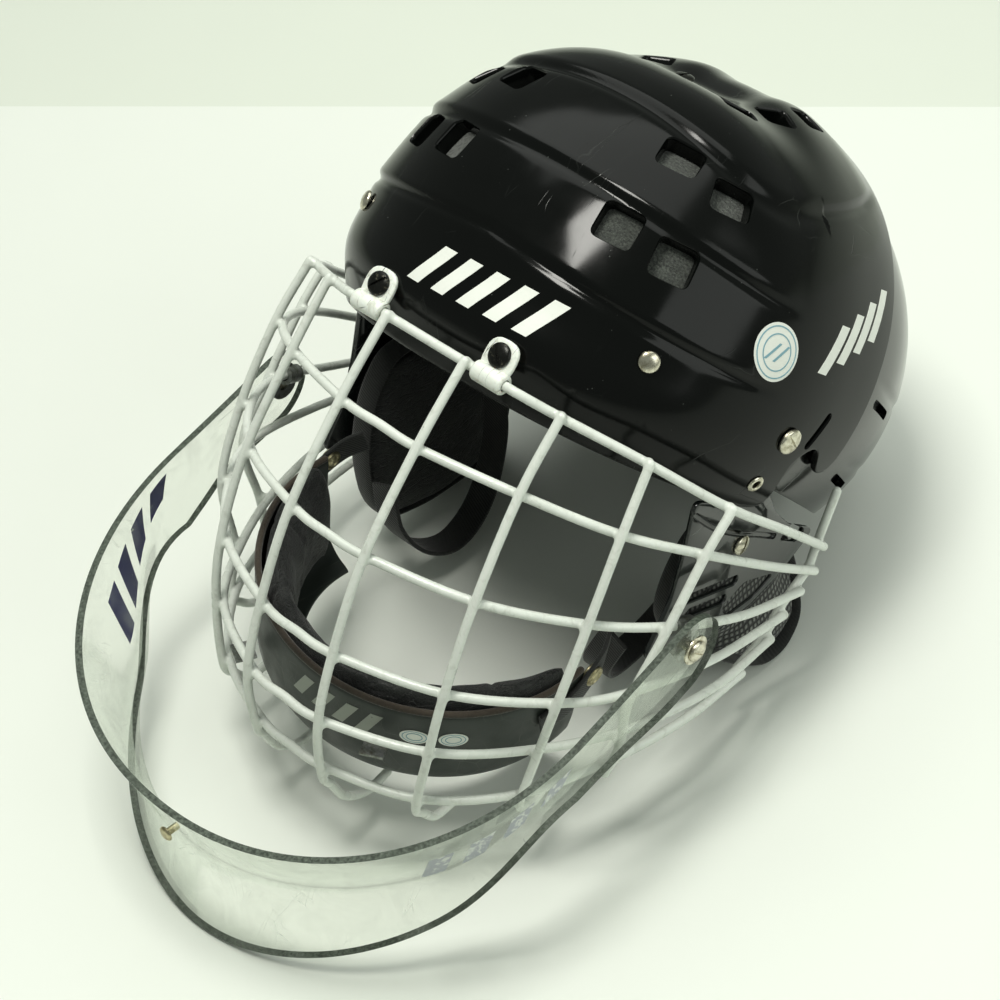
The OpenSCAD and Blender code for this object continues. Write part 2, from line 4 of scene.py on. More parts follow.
import bmesh
import bpy
import numpy as np
from mathutils import Matrix, Vector

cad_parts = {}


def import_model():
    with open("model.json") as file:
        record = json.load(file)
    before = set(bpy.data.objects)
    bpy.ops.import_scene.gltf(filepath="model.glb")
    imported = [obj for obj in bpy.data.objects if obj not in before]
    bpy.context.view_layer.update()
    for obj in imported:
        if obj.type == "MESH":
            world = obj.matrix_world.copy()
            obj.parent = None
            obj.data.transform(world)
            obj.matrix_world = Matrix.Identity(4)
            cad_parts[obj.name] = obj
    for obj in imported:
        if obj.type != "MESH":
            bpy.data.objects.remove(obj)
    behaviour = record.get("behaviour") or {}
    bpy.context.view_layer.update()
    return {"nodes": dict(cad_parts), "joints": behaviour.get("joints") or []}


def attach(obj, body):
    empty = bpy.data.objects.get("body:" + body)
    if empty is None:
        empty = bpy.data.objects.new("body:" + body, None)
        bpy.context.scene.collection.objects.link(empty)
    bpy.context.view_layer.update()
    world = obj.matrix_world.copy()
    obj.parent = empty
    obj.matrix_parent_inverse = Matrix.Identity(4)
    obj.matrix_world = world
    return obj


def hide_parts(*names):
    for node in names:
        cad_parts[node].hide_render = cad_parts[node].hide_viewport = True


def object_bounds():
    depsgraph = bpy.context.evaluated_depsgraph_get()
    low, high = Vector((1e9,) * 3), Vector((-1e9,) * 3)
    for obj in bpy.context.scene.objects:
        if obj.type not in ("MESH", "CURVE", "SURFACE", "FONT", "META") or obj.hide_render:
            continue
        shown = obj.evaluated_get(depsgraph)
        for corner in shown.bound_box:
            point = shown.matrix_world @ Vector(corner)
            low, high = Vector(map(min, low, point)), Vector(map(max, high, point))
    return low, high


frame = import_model()
scene = bpy.context.scene

# Lengths are millimetres in each piece's own frame; the placing matrices turn them into metres.
MM = 0.001
SIDES = {"left": 1, "right": -1}

# ---- frames: the cage's, at the middle of the brow bar, and the tipped shell's ----

joints = {j["name"]: j for j in frame["joints"]}
slide = joints["size_adjust"]["axis"]
SHELL_TIP = math.radians(39.5)
LEAN = math.atan2(-slide[2], slide[1]) - SHELL_TIP
SHELL_MID = (0, 118, -54)
CAGE = Matrix.Translation(joints["cage_flip"]["pos_m"]) @ Matrix.Rotation(-LEAN, 4, "X") @ Matrix.Scale(MM, 4)
SHELL = CAGE @ Matrix.Translation(SHELL_MID) @ Matrix.Rotation(-SHELL_TIP, 4, "X")
MIRROR = Matrix.Diagonal((-1, 1, 1, 1))


def on_side(place, s):
    """The same place on the wearer's left (1) or right (-1)."""
    return place @ MIRROR if s < 0 else place


# ---- camera ----

CAMERA_AT = (510.7, -498.2, 563.8)
CAMERA_AZIMUTH = math.radians(43.56)
CAMERA_ELEVATION = math.radians(42.14)
FOCAL_LENGTH = 86.4


def make_camera():
    data = bpy.data.cameras.new("camera")
    data.lens = FOCAL_LENGTH
    camera = bpy.data.objects.new("camera", data)
    scene.collection.objects.link(camera)
    turn = Matrix.Rotation(CAMERA_AZIMUTH, 4, "Z") @ Matrix.Rotation(math.pi / 2 - CAMERA_ELEVATION, 4, "X")
    leaning = Matrix.Rotation(-LEAN, 4, "X")
    camera.matrix_world = Matrix.Translation(CAGE @ Vector(CAMERA_AT)) @ leaning @ turn
    scene.camera = camera


make_camera()

# ---- lines and outlines ----


def unit(v):
    v = np.asarray(v, float)
    return v / np.maximum(np.linalg.norm(v, axis=-1, keepdims=True), 1e-12)


def spow(v, e):
    return np.sign(v) * np.abs(v) ** e


def ease(v, low, high):
    """0 at low, 1 at high, smooth between them."""
    t = np.clip((np.asarray(v, float) - low) / (high - low), 0, 1)
    return t * t * (3 - 2 * t)


def flip(points):
    return np.asarray(points, float) * (-1, 1, 1)


def whole(half):
    """A route from the wearer's right to the left, from its left half."""
    half = np.asarray(half, float)
    return np.vstack([flip(half[half[:, 0] > 0])[::-1], half])


def smooth(route, steps):
    """A smooth curve through the points of a route."""
    p = np.asarray(route, float)
    p = np.vstack([2 * p[0] - p[1], p, 2 * p[-1] - p[-2]])
    out = []
    for a, b, c, d in zip(p, p[1:], p[2:], p[3:]):
        for t in np.arange(steps) / steps:
            cubic = (2 * a - 5 * b + 4 * c - d) * t * t + (3 * b - a - 3 * c + d) * t ** 3
            out.append(0.5 * (2 * b + (c - a) * t + cubic))
    return np.array(out + [p[-2]])


def rounded(points, r, closed=False, steps=6):
    """The outline with its corners rounded off, starting r before each of them."""
    p = np.asarray(points, float)
    n = len(p)
    out = []
    for i in range(n):
        if not closed and i in (0, n - 1):
            out.append(p[i])
            continue
        before, here, after = p[i - 1], p[i], p[(i + 1) % n]
        start = here + unit(before - here) * min(r, np.linalg.norm(before - here) * 0.48)
        end = here + unit(after - here) * min(r, np.linalg.norm(after - here) * 0.48)
        for t in np.linspace(0, 1, steps):
            out.append((1 - t) ** 2 * start + 2 * t * (1 - t) * here + t * t * end)
    return np.array(out)


def resample(points, count, closed=False):
    """Points evenly spaced along a line."""
    p = np.vstack([points, points[:1]]) if closed else np.asarray(points, float)
    run = np.concatenate([[0], np.cumsum(np.linalg.norm(np.diff(p, axis=0), axis=1))])
    at = np.linspace(0, run[-1], count, endpoint=not closed)
    return np.stack([np.interp(at, run, p[:, k]) for k in range(p.shape[1])], axis=1)


def box_outline(length, width, r):
    """A rounded rectangle round the origin."""
    a, b = length / 2, width / 2
    return rounded([(-a, -b), (a, -b), (a, b), (-a, b)], r, closed=True)


def circle(r, count=32):
    a = np.arange(count) * 2 * math.pi / count
    return np.stack([r * np.cos(a), r * np.sin(a)], axis=1)


def capsule(a, b, r):
    """The outline of a slot with round ends, between the middles of its ends."""
    a, b = np.array(a, float), np.array(b, float)
    along = unit(b - a)
    across = np.array([-along[1], along[0]])
    turn = np.radians(np.linspace(-90, 90, 9))
    ends = [b + r * (math.cos(t) * along + math.sin(t) * across) for t in turn]
    return np.array(ends + [a - r * (math.cos(t) * along + math.sin(t) * across) for t in turn])


def grown(outline, by):
    """A closed flat outline moved outward."""
    edge = unit(np.roll(outline, -1, axis=0) - np.roll(outline, 1, axis=0))
    turn = np.roll(outline, -1, axis=0)
    winding = np.sign(np.sum(outline[:, 0] * turn[:, 1] - outline[:, 1] * turn[:, 0]))
    return outline + by * winding * np.stack([edge[:, 1], -edge[:, 0]], axis=1)


# ---- meshes: a mesh is (points, faces) until it becomes a piece ----


def loft(rings, first=None, last=None, loop=False):
    """A skin through rings of equally many points, closed at both ends by a point or a flat face."""
    rings = np.asarray(rings, float)
    n, m = rings.shape[:2]
    grid = np.arange(n * m).reshape(n, m)
    if loop:
        grid = np.vstack([grid, grid[:1]])
    a, b = grid[:-1], np.roll(grid[:-1], -1, axis=1)
    d, c = grid[1:], np.roll(grid[1:], -1, axis=1)
    faces = np.stack([a, b, c, d], axis=-1).reshape(-1, 4).tolist()
    points = rings.reshape(-1, 3).tolist()
    if not loop:
        for end, ring, turn in ((first, grid[0], -1), (last, grid[-1], 1)):
            if end is None:
                faces.append(ring[::turn].tolist())
                continue
            points.append(list(end))
            tip = len(points) - 1
            faces += [[int(ring[i]), int(ring[(i + 1) % m]), tip][::turn] for i in range(m)]
    return points, faces


def slab(top, bottom):
    """A closed thin block between two grids of points."""
    top, bottom = np.asarray(top, float), np.asarray(bottom, float)
    rings = np.concatenate([top, bottom[:, ::-1]], axis=1)
    return loft(rings)


def merged(parts):
    points, faces = [], []
    for p, f in parts:
        base = len(points)
        points += list(p)
        faces += [[i + base for i in face] for face in f]
    return points, faces


def moved(mesh, matrix):
    points, faces = mesh
    m = np.array(matrix)
    return (np.asarray(points, float) @ m[:3, :3].T + m[:3, 3]).tolist(), faces


def lathe(profile, sides=48):
    """A turned solid from (radius, height) points, closed on its axis at both ends."""
    a = np.arange(sides) * 2 * math.pi / sides
    rings = [np.stack([r * np.cos(a), r * np.sin(a), np.full(sides, h)], axis=1) for r, h in profile]
    return loft(rings, (0, 0, profile[0][1]), (0, 0, profile[-1][1]))


def pipe(profile, sides=48):
    """A turned ring from a closed profile of (radius, height) points."""
    a = np.arange(sides) * 2 * math.pi / sides
    p = np.asarray(profile, float)
    rings = [np.stack([p[:, 0] * math.cos(t), p[:, 0] * math.sin(t), p[:, 1]], axis=1) for t in a]
    return loft(rings, loop=True)


def prism(outline, levels):
    """A solid over a flat outline; each level is (height, how far the outline grows there)."""
    rings = [np.column_stack([grown(outline, g), np.full(len(outline), h)]) for h, g in levels]
    return loft(rings)


def edge_levels(low, high, steps):
    """Levels of a prism whose two faces have the same softened edge; steps run from a face inward."""
    return [(low + h, g) for h, g in steps] + [(high - h, g) for h, g in reversed(steps)]


def strap(route, across, half_w, half_t, corner):
    """A flat strap along a route; across is the way its width lies."""
    along = unit(np.gradient(route, axis=0))
    wide = unit(np.array(across, float) - along * (along @ across)[:, None])
    out = np.cross(along, wide)
    box = [(-half_w, -half_t), (half_w, -half_t), (half_w, half_t), (-half_w, half_t)]
    section = rounded(box, corner, closed=True, steps=4)
    rings = [p + np.outer(section[:, 0], w) + np.outer(section[:, 1], o) for p, w, o in zip(route, wide, out)]
    return loft(rings)


def tube(points, r, sides=14, ends=4):
    """A round bar along points, with round ends."""
    p = np.asarray(points, float)
    along = unit(np.gradient(p, axis=0))
    side = unit(np.cross(along[0], (0.3, 0.5, 0.81)))
    a = np.arange(sides) * 2 * math.pi / sides
    rings = []
    for i, t in enumerate(along):
        side = unit(side - t * (side @ t))
        ring = np.outer(np.cos(a), side) + np.outer(np.sin(a), np.cross(t, side))
        rings.append((p[i], ring))
    cap = np.linspace(0, math.pi / 2, ends + 1)[1:-1]
    start = [rings[0][0] - along[0] * r * math.sin(c) + rings[0][1] * r * math.cos(c) for c in cap[::-1]]
    end = [rings[-1][0] + along[-1] * r * math.sin(c) + rings[-1][1] * r * math.cos(c) for c in cap]
    body = [c + ring * r for c, ring in rings]
    return loft(start + body + end, p[0] - along[0] * r, p[-1] + along[-1] * r)


def blob(centre, axes, sides=12):
    """A small rounded lump; axes are its three half lengths as vectors."""
    axes = np.asarray(axes, float)
    a = np.arange(sides) * 2 * math.pi / sides
    rings = []
    for h in np.linspace(-math.pi / 2, math.pi / 2, 9)[1:-1]:
        ring = math.cos(h) * (np.outer(np.cos(a), axes[0]) + np.outer(np.sin(a), axes[1]))
        rings.append(centre + ring + math.sin(h) * axes[2])
    return loft(rings, centre - axes[2], centre + axes[2])


# ---- pieces ----


def new_object(name, mesh, place=Matrix.Identity(4)):
    points, faces = mesh
    data = bpy.data.meshes.new(name)
    data.from_pydata(points, [], faces)
    data.transform(place)
    b = bmesh.new()
    b.from_mesh(data)
    bmesh.ops.recalc_face_normals(b, faces=b.faces)
    b.to_mesh(data)
    b.free()
    obj = bpy.data.objects.new(name, data)
    scene.collection.objects.link(obj)
    return obj


def settle(obj):
    """Applies the modifiers of obj to its mesh."""
    graph = bpy.context.evaluated_depsgraph_get()
    made = bpy.data.meshes.new_from_object(obj.evaluated_get(graph))
    obj.modifiers.clear()
    obj.data = made
    return obj


def modify(obj, kind, **settings):
    m = obj.modifiers.new(kind, kind)
    for key, value in settings.items():
        setattr(m, key, value)
    return settle(obj)


def carve(obj, mesh, place, operation="DIFFERENCE"):
    """Cuts a mesh out of obj, or joins it on."""
    tool = new_object("tool", mesh, place)
    modify(obj, "BOOLEAN", object=tool, operation=operation, solver="MANIFOLD")
    bpy.data.objects.remove(tool)
    return obj


def finish_piece(obj, body, material, replaces=(), sharp=38):
    obj.data.materials.clear()
    obj.data.materials.append(material)
    obj.data.shade_smooth()
    obj.data.set_sharp_from_angle(angle=math.radians(sharp))
    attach(obj, body)
    if replaces:
        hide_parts(*replaces)
    return obj


def piece(name, mesh, place, body, material, replaces=(), sharp=38):
    return finish_piece(new_object(name, mesh, place), body, material, replaces, sharp)


# ---- materials ----


class Look:
    """A node material round one Principled shader; sizes are in metres on the object."""

    def __init__(self, name, **inputs):
        self.material = bpy.data.materials.new(name)
        self.material.use_nodes = True
        self.tree = self.material.node_tree
        self.shader = self.tree.nodes["Principled BSDF"]
        self.place = self.node("ShaderNodeTexCoord").outputs["Object"]
        for key, value in inputs.items():
            self.set(key.replace("_", " "), value)

    def node(self, kind, feeds=None, **settings):
        n = self.tree.nodes.new(kind)
        for key, value in settings.items():
            setattr(n, key, value)
        for key, value in (feeds or {}).items():
            self.feed(n.inputs[key], value)
        return n

    def feed(self, socket, value):
        if isinstance(value, bpy.types.NodeSocket):
            self.tree.links.new(value, socket)
        else:
            socket.default_value = value

    def set(self, name, value):
        self.feed(self.shader.inputs[name], value)

    def stretched(self, scale, turn=(0, 0, 0)):
        feeds = {"Vector": self.place, "Scale": scale, "Rotation": turn}
        return self.node("ShaderNodeMapping", feeds).outputs[0]

    def noise(self, size, detail=3.0, at=None, rough=0.5, warp=0.0):
        feeds = {"Vector": at or self.place, "Scale": 1 / size, "Detail": detail, "Roughness": rough,
                 "Distortion": warp}
        return self.node("ShaderNodeTexNoise", feeds).outputs["Fac"]

    def cells(self, size, feature="F1", at=None):
        feeds = {"Vector": at or self.place, "Scale": 1 / size}
        return self.node("ShaderNodeTexVoronoi", feeds, feature=feature).outputs["Distance"]

    def wave(self, stretch, scale, warp, direction):
        feeds = {"Vector": self.stretched(stretch), "Scale": scale, "Distortion": warp, "Detail": 1.0}
        return self.node("ShaderNodeTexWave", feeds, bands_direction=direction).outputs["Fac"]

    def span(self, value, low, high, to_low=0.0, to_high=1.0):
        feeds = {"Value": value, "From Min": low, "From Max": high, "To Min": to_low, "To Max": to_high}
        return self.node("ShaderNodeMapRange", feeds).outputs["Result"]

    def math(self, operation, a, b=0.0):
        return self.node("ShaderNodeMath", {0: a, 1: b}, operation=operation).outputs[0]

    def mix(self, share, a, b):
        n = self.node("ShaderNodeMix", data_type="RGBA")
        for socket, value in ((n.inputs[0], share), (n.inputs[6], a), (n.inputs[7], b)):
            self.feed(socket, value)
        return n.outputs[2]

    def bump(self, height, depth, normal=None):
        """Raises the surface by depth metres where height is 1."""
        feeds = {"Height": height, "Distance": depth, "Strength": 1.0}
        if normal:
            feeds["Normal"] = normal
        return self.node("ShaderNodeBump", feeds).outputs[0]

    def scratches(self, size, width, turn, patch, amount):
        """Thin long scratches in patches."""
        long = self.stretched((1, 0.05, 0.35), turn)
        warped = self.node("ShaderNodeVectorMath", {0: long}, operation="ADD")
        drift = self.node("ShaderNodeTexNoise", {"Vector": self.place, "Scale": 60.0}).outputs["Color"]
        feeds = {0: drift, "Scale": size * 0.25}
        small = self.node("ShaderNodeVectorMath", feeds, operation="SCALE").outputs[0]
        self.feed(warped.inputs[1], small)
        lines = self.cells(size, "DISTANCE_TO_EDGE", warped.outputs[0])
        line = self.span(lines, 0.0, width, 1.0, 0.0)
        where = self.span(self.noise(patch, 2), 0.62 - 0.25 * amount, 0.72 - 0.1 * amount)
        return self.math("MULTIPLY", line, where)


def rgb(r, g, b):
    return (r, g, b, 1.0)


def look_shell(name, mirror):
    k = Look(name, Specular_IOR_Level=mirror)
    fine = k.scratches(0.011, 0.007, (0.4, 0.2, 0.9), 0.03, 0.1)
    crossing = k.scratches(0.016, 0.005, (1.1, -0.5, 2.2), 0.05, 0.15)
    marks = k.math("MAXIMUM", fine, crossing)
    dust = k.span(k.cells(0.0035), 0.05, 0.09, 1.0, 0.0)
    rare = k.math("MULTIPLY", dust, k.span(k.noise(0.012, 1), 0.6, 0.66))
    smear = k.noise(0.035, 5, rough=0.6)
    light = k.math("MAXIMUM", k.math("MULTIPLY", marks, 0.3), k.math("MULTIPLY", rare, 0.7))
    k.set("Base Color", k.mix(light, rgb(0.0022, 0.0028, 0.0024), rgb(0.10, 0.11, 0.10)))
    dull = k.span(smear, 0.3, 0.75, 0.09, 0.2)
    k.set("Roughness", k.math("ADD", dull, k.math("MULTIPLY", marks, 0.3)))
    wave = k.bump(k.noise(0.03, 1), 0.00006)
    k.set("Normal", k.bump(marks, -0.00004, wave))
    return k.material


def look_felt():
    k = Look("liner_felt", Roughness=0.95, Sheen_Weight=0.4, Sheen_Roughness=0.6)
    speckle = k.noise(0.0009, 4, rough=0.7)
    tuft = k.noise(0.0035, 3)
    tone = k.mix(k.span(speckle, 0.38, 0.64), rgb(0.008, 0.010, 0.008), rgb(0.10, 0.115, 0.095))
    k.set("Base Color", k.mix(k.span(tuft, 0.35, 0.7, 0.0, 0.5), tone, rgb(0.02, 0.024, 0.02)))
    k.set("Normal", k.bump(speckle, 0.0007, k.bump(tuft, 0.0006)))
    return k.material


def look_coating():
    k = Look("cage_coating", IOR=1.5)
    cloud = k.noise(0.02, 4)
    chip = k.math("MULTIPLY", k.span(k.noise(0.0035, 5, rough=0.65), 0.70, 0.725), k.span(cloud, 0.5, 0.58))
    grime = k.math("MULTIPLY", k.span(k.noise(0.006, 5, warp=1.5), 0.55, 0.8), 0.35)
    tone = k.mix(cloud, rgb(0.60, 0.64, 0.585), rgb(0.76, 0.79, 0.74))
    dirty = k.mix(grime, tone, rgb(0.27, 0.28, 0.22))
    k.set("Base Color", k.mix(chip, dirty, rgb(0.045, 0.045, 0.04)))
    k.set("Roughness", k.span(cloud, 0.3, 0.7, 0.22, 0.38))
    k.set("Normal", k.bump(chip, -0.00015, k.bump(k.noise(0.004, 3), 0.00018)))
    return k.material


def look_vinyl():
    k = Look("white_vinyl", Roughness=0.42, IOR=1.48, Subsurface_Weight=0.05)
    scuff = k.scratches(0.004, 0.03, (0.3, 0.8, 0.1), 0.006, 0.6)
    stain = k.span(k.noise(0.004, 5, warp=1.0), 0.52, 0.72, 0.0, 0.55)
    tone = k.mix(stain, rgb(0.80, 0.82, 0.75), rgb(0.42, 0.42, 0.33))
    k.set("Base Color", k.mix(scuff, tone, rgb(0.06, 0.06, 0.05)))
    k.set("Normal", k.bump(k.noise(0.0012, 4), 0.00012, k.bump(scuff, -0.0001)))
    return k.material


def look_nickel(name, tone, rough):
    k = Look(name, Metallic=1.0)
    tarnish = k.noise(0.003, 5, rough=0.65)
    marks = k.scratches(0.004, 0.015, (0.2, 0.1, 0.6), 0.006, 0.0)
    dark = rgb(tone[0] * 0.35, tone[1] * 0.33, tone[2] * 0.26)
    k.set("Base Color", k.mix(k.span(tarnish, 0.42, 0.72), rgb(*tone), dark))
    dull = k.span(tarnish, 0.3, 0.7, rough, rough + 0.2)
    k.set("Roughness", k.math("ADD", dull, k.math("MULTIPLY", marks, 0.2)))
    k.set("Normal", k.bump(marks, -0.00003, k.bump(tarnish, 0.00004)))
    return k.material


def look_black_screw():
    k = Look("black_screw", Metallic=0.6)
    worn = k.span(k.noise(0.0018, 5, rough=0.7), 0.58, 0.68)
    k.set("Base Color", k.mix(worn, rgb(0.012, 0.013, 0.011), rgb(0.16, 0.15, 0.11)))
    k.set("Roughness", k.span(k.noise(0.003, 3), 0.3, 0.7, 0.2, 0.42))
    k.set("Normal", k.bump(k.noise(0.001, 3), 0.00005))
    return k.material


def look_leather():
    k = Look("pad_leather", Sheen_Weight=0.15, IOR=1.45)
    grain = k.cells(0.0011, "DISTANCE_TO_EDGE")
    crease = k.noise(0.011, 4, at=k.stretched((1, 1, 2.6)), warp=0.8)
    folds = k.span(k.math("ABSOLUTE", k.math("SUBTRACT", crease, 0.5)), 0.0, 0.045)
    worn = k.span(k.noise(0.02, 4), 0.5, 0.75)
    k.set("Base Color", k.mix(worn, rgb(0.007, 0.0085, 0.0075), rgb(0.022, 0.026, 0.021)))
    k.set("Roughness", k.span(k.noise(0.008, 3), 0.3, 0.7, 0.42, 0.62))
    k.set("Normal", k.bump(k.span(grain, 0.0, 0.12), 0.00012, k.bump(folds, 0.0005)))
    return k.material


def look_smoked():
    k = Look("smoked_plastic", IOR=1.55, Coat_Weight=0.3)
    marks = k.scratches(0.008, 0.015, (0.5, 0.9, 0.2), 0.03, 0.8)
    smear = k.noise(0.02, 4)
    pale = k.math("MULTIPLY", marks, 0.7)
    k.set("Base Color", k.mix(pale, rgb(0.009, 0.0115, 0.0105), rgb(0.10, 0.11, 0.10)))
    k.set("Roughness", k.math("ADD", k.span(smear, 0.3, 0.7, 0.06, 0.16), k.math("MULTIPLY", marks, 0.3)))
    k.set("Normal", k.bump(marks, -0.00004, k.bump(k.noise(0.02, 1), 0.00006)))
    return k.material


def look_cup():
    k = Look("cup_plastic", IOR=1.48)
    grain = k.noise(0.0006, 3)
    marks = k.scratches(0.006, 0.02, (0.2, 0.3, 1.2), 0.02, 0.6)
    tone = k.mix(k.noise(0.03, 4), rgb(0.021, 0.027, 0.023), rgb(0.033, 0.041, 0.035))
    k.set("Base Color", k.mix(k.math("MULTIPLY", marks, 0.5), tone, rgb(0.11, 0.12, 0.10)))
    k.set("Roughness", k.span(k.noise(0.01, 3), 0.3, 0.7, 0.34, 0.5))
    k.set("Normal", k.bump(grain, 0.00005, k.bump(marks, -0.00003)))
    return k.material


def look_mesh_pad():
    k = Look("mesh_pad", Roughness=0.9, Sheen_Weight=0.3)
    knot = k.math("MULTIPLY", k.wave((0, 1, 1), 130.0, 2.0, "Y"), k.wave((0, 1, 1), 95.0, 2.4, "Z"))
    k.set("Base Color", k.mix(k.span(knot, 0.25, 0.7), rgb(0.013, 0.014, 0.013), rgb(0.17, 0.18, 0.16)))
    k.set("Normal", k.bump(knot, 0.0007, k.bump(k.noise(0.0005, 2), 0.0001)))
    return k.material


def look_webbing():
    k = Look("webbing", Roughness=0.85, Sheen_Weight=0.25)
    rib = k.wave((0.5, 1, 1), 380.0, 0.6, "DIAGONAL")
    fibre = k.noise(0.0006, 3)
    k.set("Base Color", k.mix(fibre, rgb(0.006, 0.0065, 0.006), rgb(0.02, 0.022, 0.02)))
    k.set("Normal", k.bump(rib, 0.00012, k.bump(fibre, 0.0001)))
    return k.material


def look_clear_sheet():
    """Clear plastic as a thin sheet: seen through, with a reflection and a little haze."""
    k = Look("clear_sheet", Roughness=0.3)
    marks = k.scratches(0.009, 0.012, (0.3, 1.2, 0.2), 0.02, 0.3)
    haze = k.span(k.noise(0.02, 5, warp=1.2), 0.45, 0.8, 0.0, 0.16)
    k.set("Base Color", rgb(0.80, 0.84, 0.78))
    k.set("Normal", k.bump(marks, -0.00004))
    through = k.node("ShaderNodeBsdfTransparent", {"Color": rgb(0.965, 0.972, 0.955)}).outputs[0]
    gloss = k.node("ShaderNodeBsdfGlossy", {"Color": rgb(0.9, 0.95, 0.9), "Roughness": 0.08}).outputs[0]
    edge = k.node("ShaderNodeLayerWeight", {"Blend": 0.12}).outputs["Fresnel"]
    glancing = k.math("MULTIPLY", edge, 0.3)
    sheen = k.node("ShaderNodeMixShader", {0: glancing, 1: through, 2: gloss}).outputs[0]
    cloudy = k.math("ADD", k.math("ADD", haze, 0.03), k.math("MULTIPLY", marks, 0.4))
    made = k.node("ShaderNodeMixShader", {0: cloudy, 1: sheen, 2: k.shader.outputs[0]}).outputs[0]
    k.feed(k.tree.nodes["Material Output"].inputs["Surface"], made)
    return k.material


def look_sheet_edge_painted_shade():
    # The edge faces of the clear sheet: the streaks are saw marks, and the dark grey-green tone is painted
    # shade for the edge of clear plastic seen through the sheet.
    k = Look("clear_sheet_edge_painted_shade", Roughness=0.55, Specular_IOR_Level=0.3)
    saw = k.noise(0.0012, 4, at=k.stretched((1, 1, 0.2)))
    tone = k.mix(k.span(saw, 0.35, 0.7), rgb(0.035, 0.045, 0.034), rgb(0.13, 0.155, 0.125))
    k.set("Base Color", tone)
    k.set("Normal", k.bump(saw, 0.0002))
    return k.material


def look_print(name, tone, worn_tone, wear):
    """Thin printed or stuck-on vinyl, worn through in places."""
    k = Look(name, Roughness=0.45)
    worn = k.span(k.noise(0.004, 5, rough=0.7), 0.72 - wear, 0.76 - wear)
    k.set("Base Color", k.mix(worn, rgb(*tone), rgb(*worn_tone)))
    k.set("Normal", k.bump(k.noise(0.0015, 3), 0.00004))
    return k.material


def look_piping():
    k = Look("piping", Roughness=0.8, Sheen_Weight=0.3)
    twist = k.noise(0.0011, 3)
    k.set("Base Color", k.mix(twist, rgb(0.018, 0.013, 0.008), rgb(0.055, 0.04, 0.025)))
    k.set("Normal", k.bump(twist, 0.0003))
    return k.material


BLACK = look_shell("shell_black", 0.24)
REAR_BLACK = look_shell("rear_shell_black", 0.8)
FELT = look_felt()
COATING = look_coating()
VINYL = look_vinyl()
NICKEL = look_nickel("nickel", (0.70, 0.67, 0.56), 0.16)
BRASS = look_nickel("old_brass", (0.55, 0.50, 0.33), 0.25)
DULL_STEEL = look_nickel("dull_steel", (0.30, 0.31, 0.30), 0.3)
SCREW_BLACK = look_black_screw()
LEATHER = look_leather()
SMOKED = look_smoked()
CUP = look_cup()
MESH_PAD = look_mesh_pad()
WEBBING = look_webbing()
CLEAR = look_clear_sheet()
CLEAR_EDGE_PAINTED_SHADE = look_sheet_edge_painted_shade()
WHITE_PRINT = look_print("white_print", (0.74, 0.76, 0.71), (0.03, 0.03, 0.03), 0.02)
GREY_PRINT = look_print("grey_print", (0.30, 0.32, 0.28), (0.04, 0.045, 0.04), 0.06)
BLUE_PRINT = look_print("blue_print", (0.02, 0.018, 0.13), (0.45, 0.48, 0.50), 0.08)
SCRAPED_PRINT = look_print("scraped_print", (0.36, 0.38, 0.41), (0.60, 0.63, 0.59), 0.2)
PALE_BLUE_PRINT = look_print("pale_blue_print", (0.20, 0.36, 0.42), (0.6, 0.66, 0.66), 0.05)
PIPING = look_piping()

# ---- the shell's form, in its own tipped frame: x across, y along to the nape, z to the crown ----

HALF_W, FRONT, REAR, HIGH, SQUARE = 108.0, 122.0, 138.0, 109.0, 2.4
WALL, SHELL_GAP = 3.0, 1.5
REAR_OUT = WALL + SHELL_GAP
REAR_LONG = REAR + REAR_OUT + 2
BROW_FLARE, BROW_FLARE_AT, BROW_FLARE_SPAN = 0.05, -20, 14
CROWN_DIP = 9.0


def dip(x, y):
    return CROWN_DIP * np.exp(-((y + 30) / 20) ** 2 - (x / 50) ** 2)


def flare(y, z):
    """How far forward the forehead's edge is stretched."""
    return 1 + np.where(y < 0, BROW_FLARE * np.exp(-((z - BROW_FLARE_AT) / BROW_FLARE_SPAN) ** 2), 0)


def in_plan(x, y, inset=0.0, rear=REAR):
    """The dome's rounded-square plan: 1 on its widest line, less inside it."""
    long = np.where(y < 0, FRONT, rear) - inset
    return np.abs(x / (HALF_W - inset)) ** SQUARE + np.abs(y / long) ** SQUARE


def plain_dome(d, inset, rear):
    """Points of the dome, before its dip and flare, in directions from its middle."""
    flat = in_plan(d[..., 0], d[..., 1], inset, rear)
    size = np.sqrt(flat ** (2 / SQUARE) + (d[..., 2] / (HIGH - inset)) ** 2)
    return d / size[..., None]


def shaped(p):
    """The plain dome's points with the flare of the forehead's edge and the dip in the crown."""
    x, y, z = p[..., 0], p[..., 1], p[..., 2]
    return np.stack([x, y * flare(y, z), z - np.where(z > 0, dip(x, y), 0)], axis=-1)


def outward(p):
    """Outward direction of the dome at points on it."""
    p = np.asarray(p, float)
    x, y, z = p[..., 0], p[..., 1], p[..., 2]
    b = np.where(y < 0, FRONT, REAR)
    k = 2 * np.maximum(in_plan(x, y), 1e-9) ** (2 / SQUARE - 1)
    n = [k * spow(x / HALF_W, SQUARE - 1) / HALF_W, k * spow(y / b, SQUARE - 1) / b, 2 * z / HIGH ** 2]
    return unit(np.stack(n, axis=-1))


def above(x, y):
    """Points of the outside above a place in plan."""
    x, y = np.asarray(x, float), np.asarray(y, float)
    g = in_plan(x, y) ** (2 / SQUARE)
    return np.stack([x, y, HIGH * np.sqrt(np.maximum(1 - g, 0)) - dip(x, y)], axis=-1)


def beside(y, z):
    """Points of the wearer's left side, beside a place in the side view."""
    y, z = np.asarray(y, float), np.asarray(z, float)
    b = np.where(y < 0, FRONT, REAR)
    g = (1 - (z / HIGH) ** 2) ** (SQUARE / 2) - np.abs(y / b) ** SQUARE
    return np.stack([HALF_W * np.maximum(g, 0) ** (1 / SQUARE), y * flare(y, z), z], axis=-1)


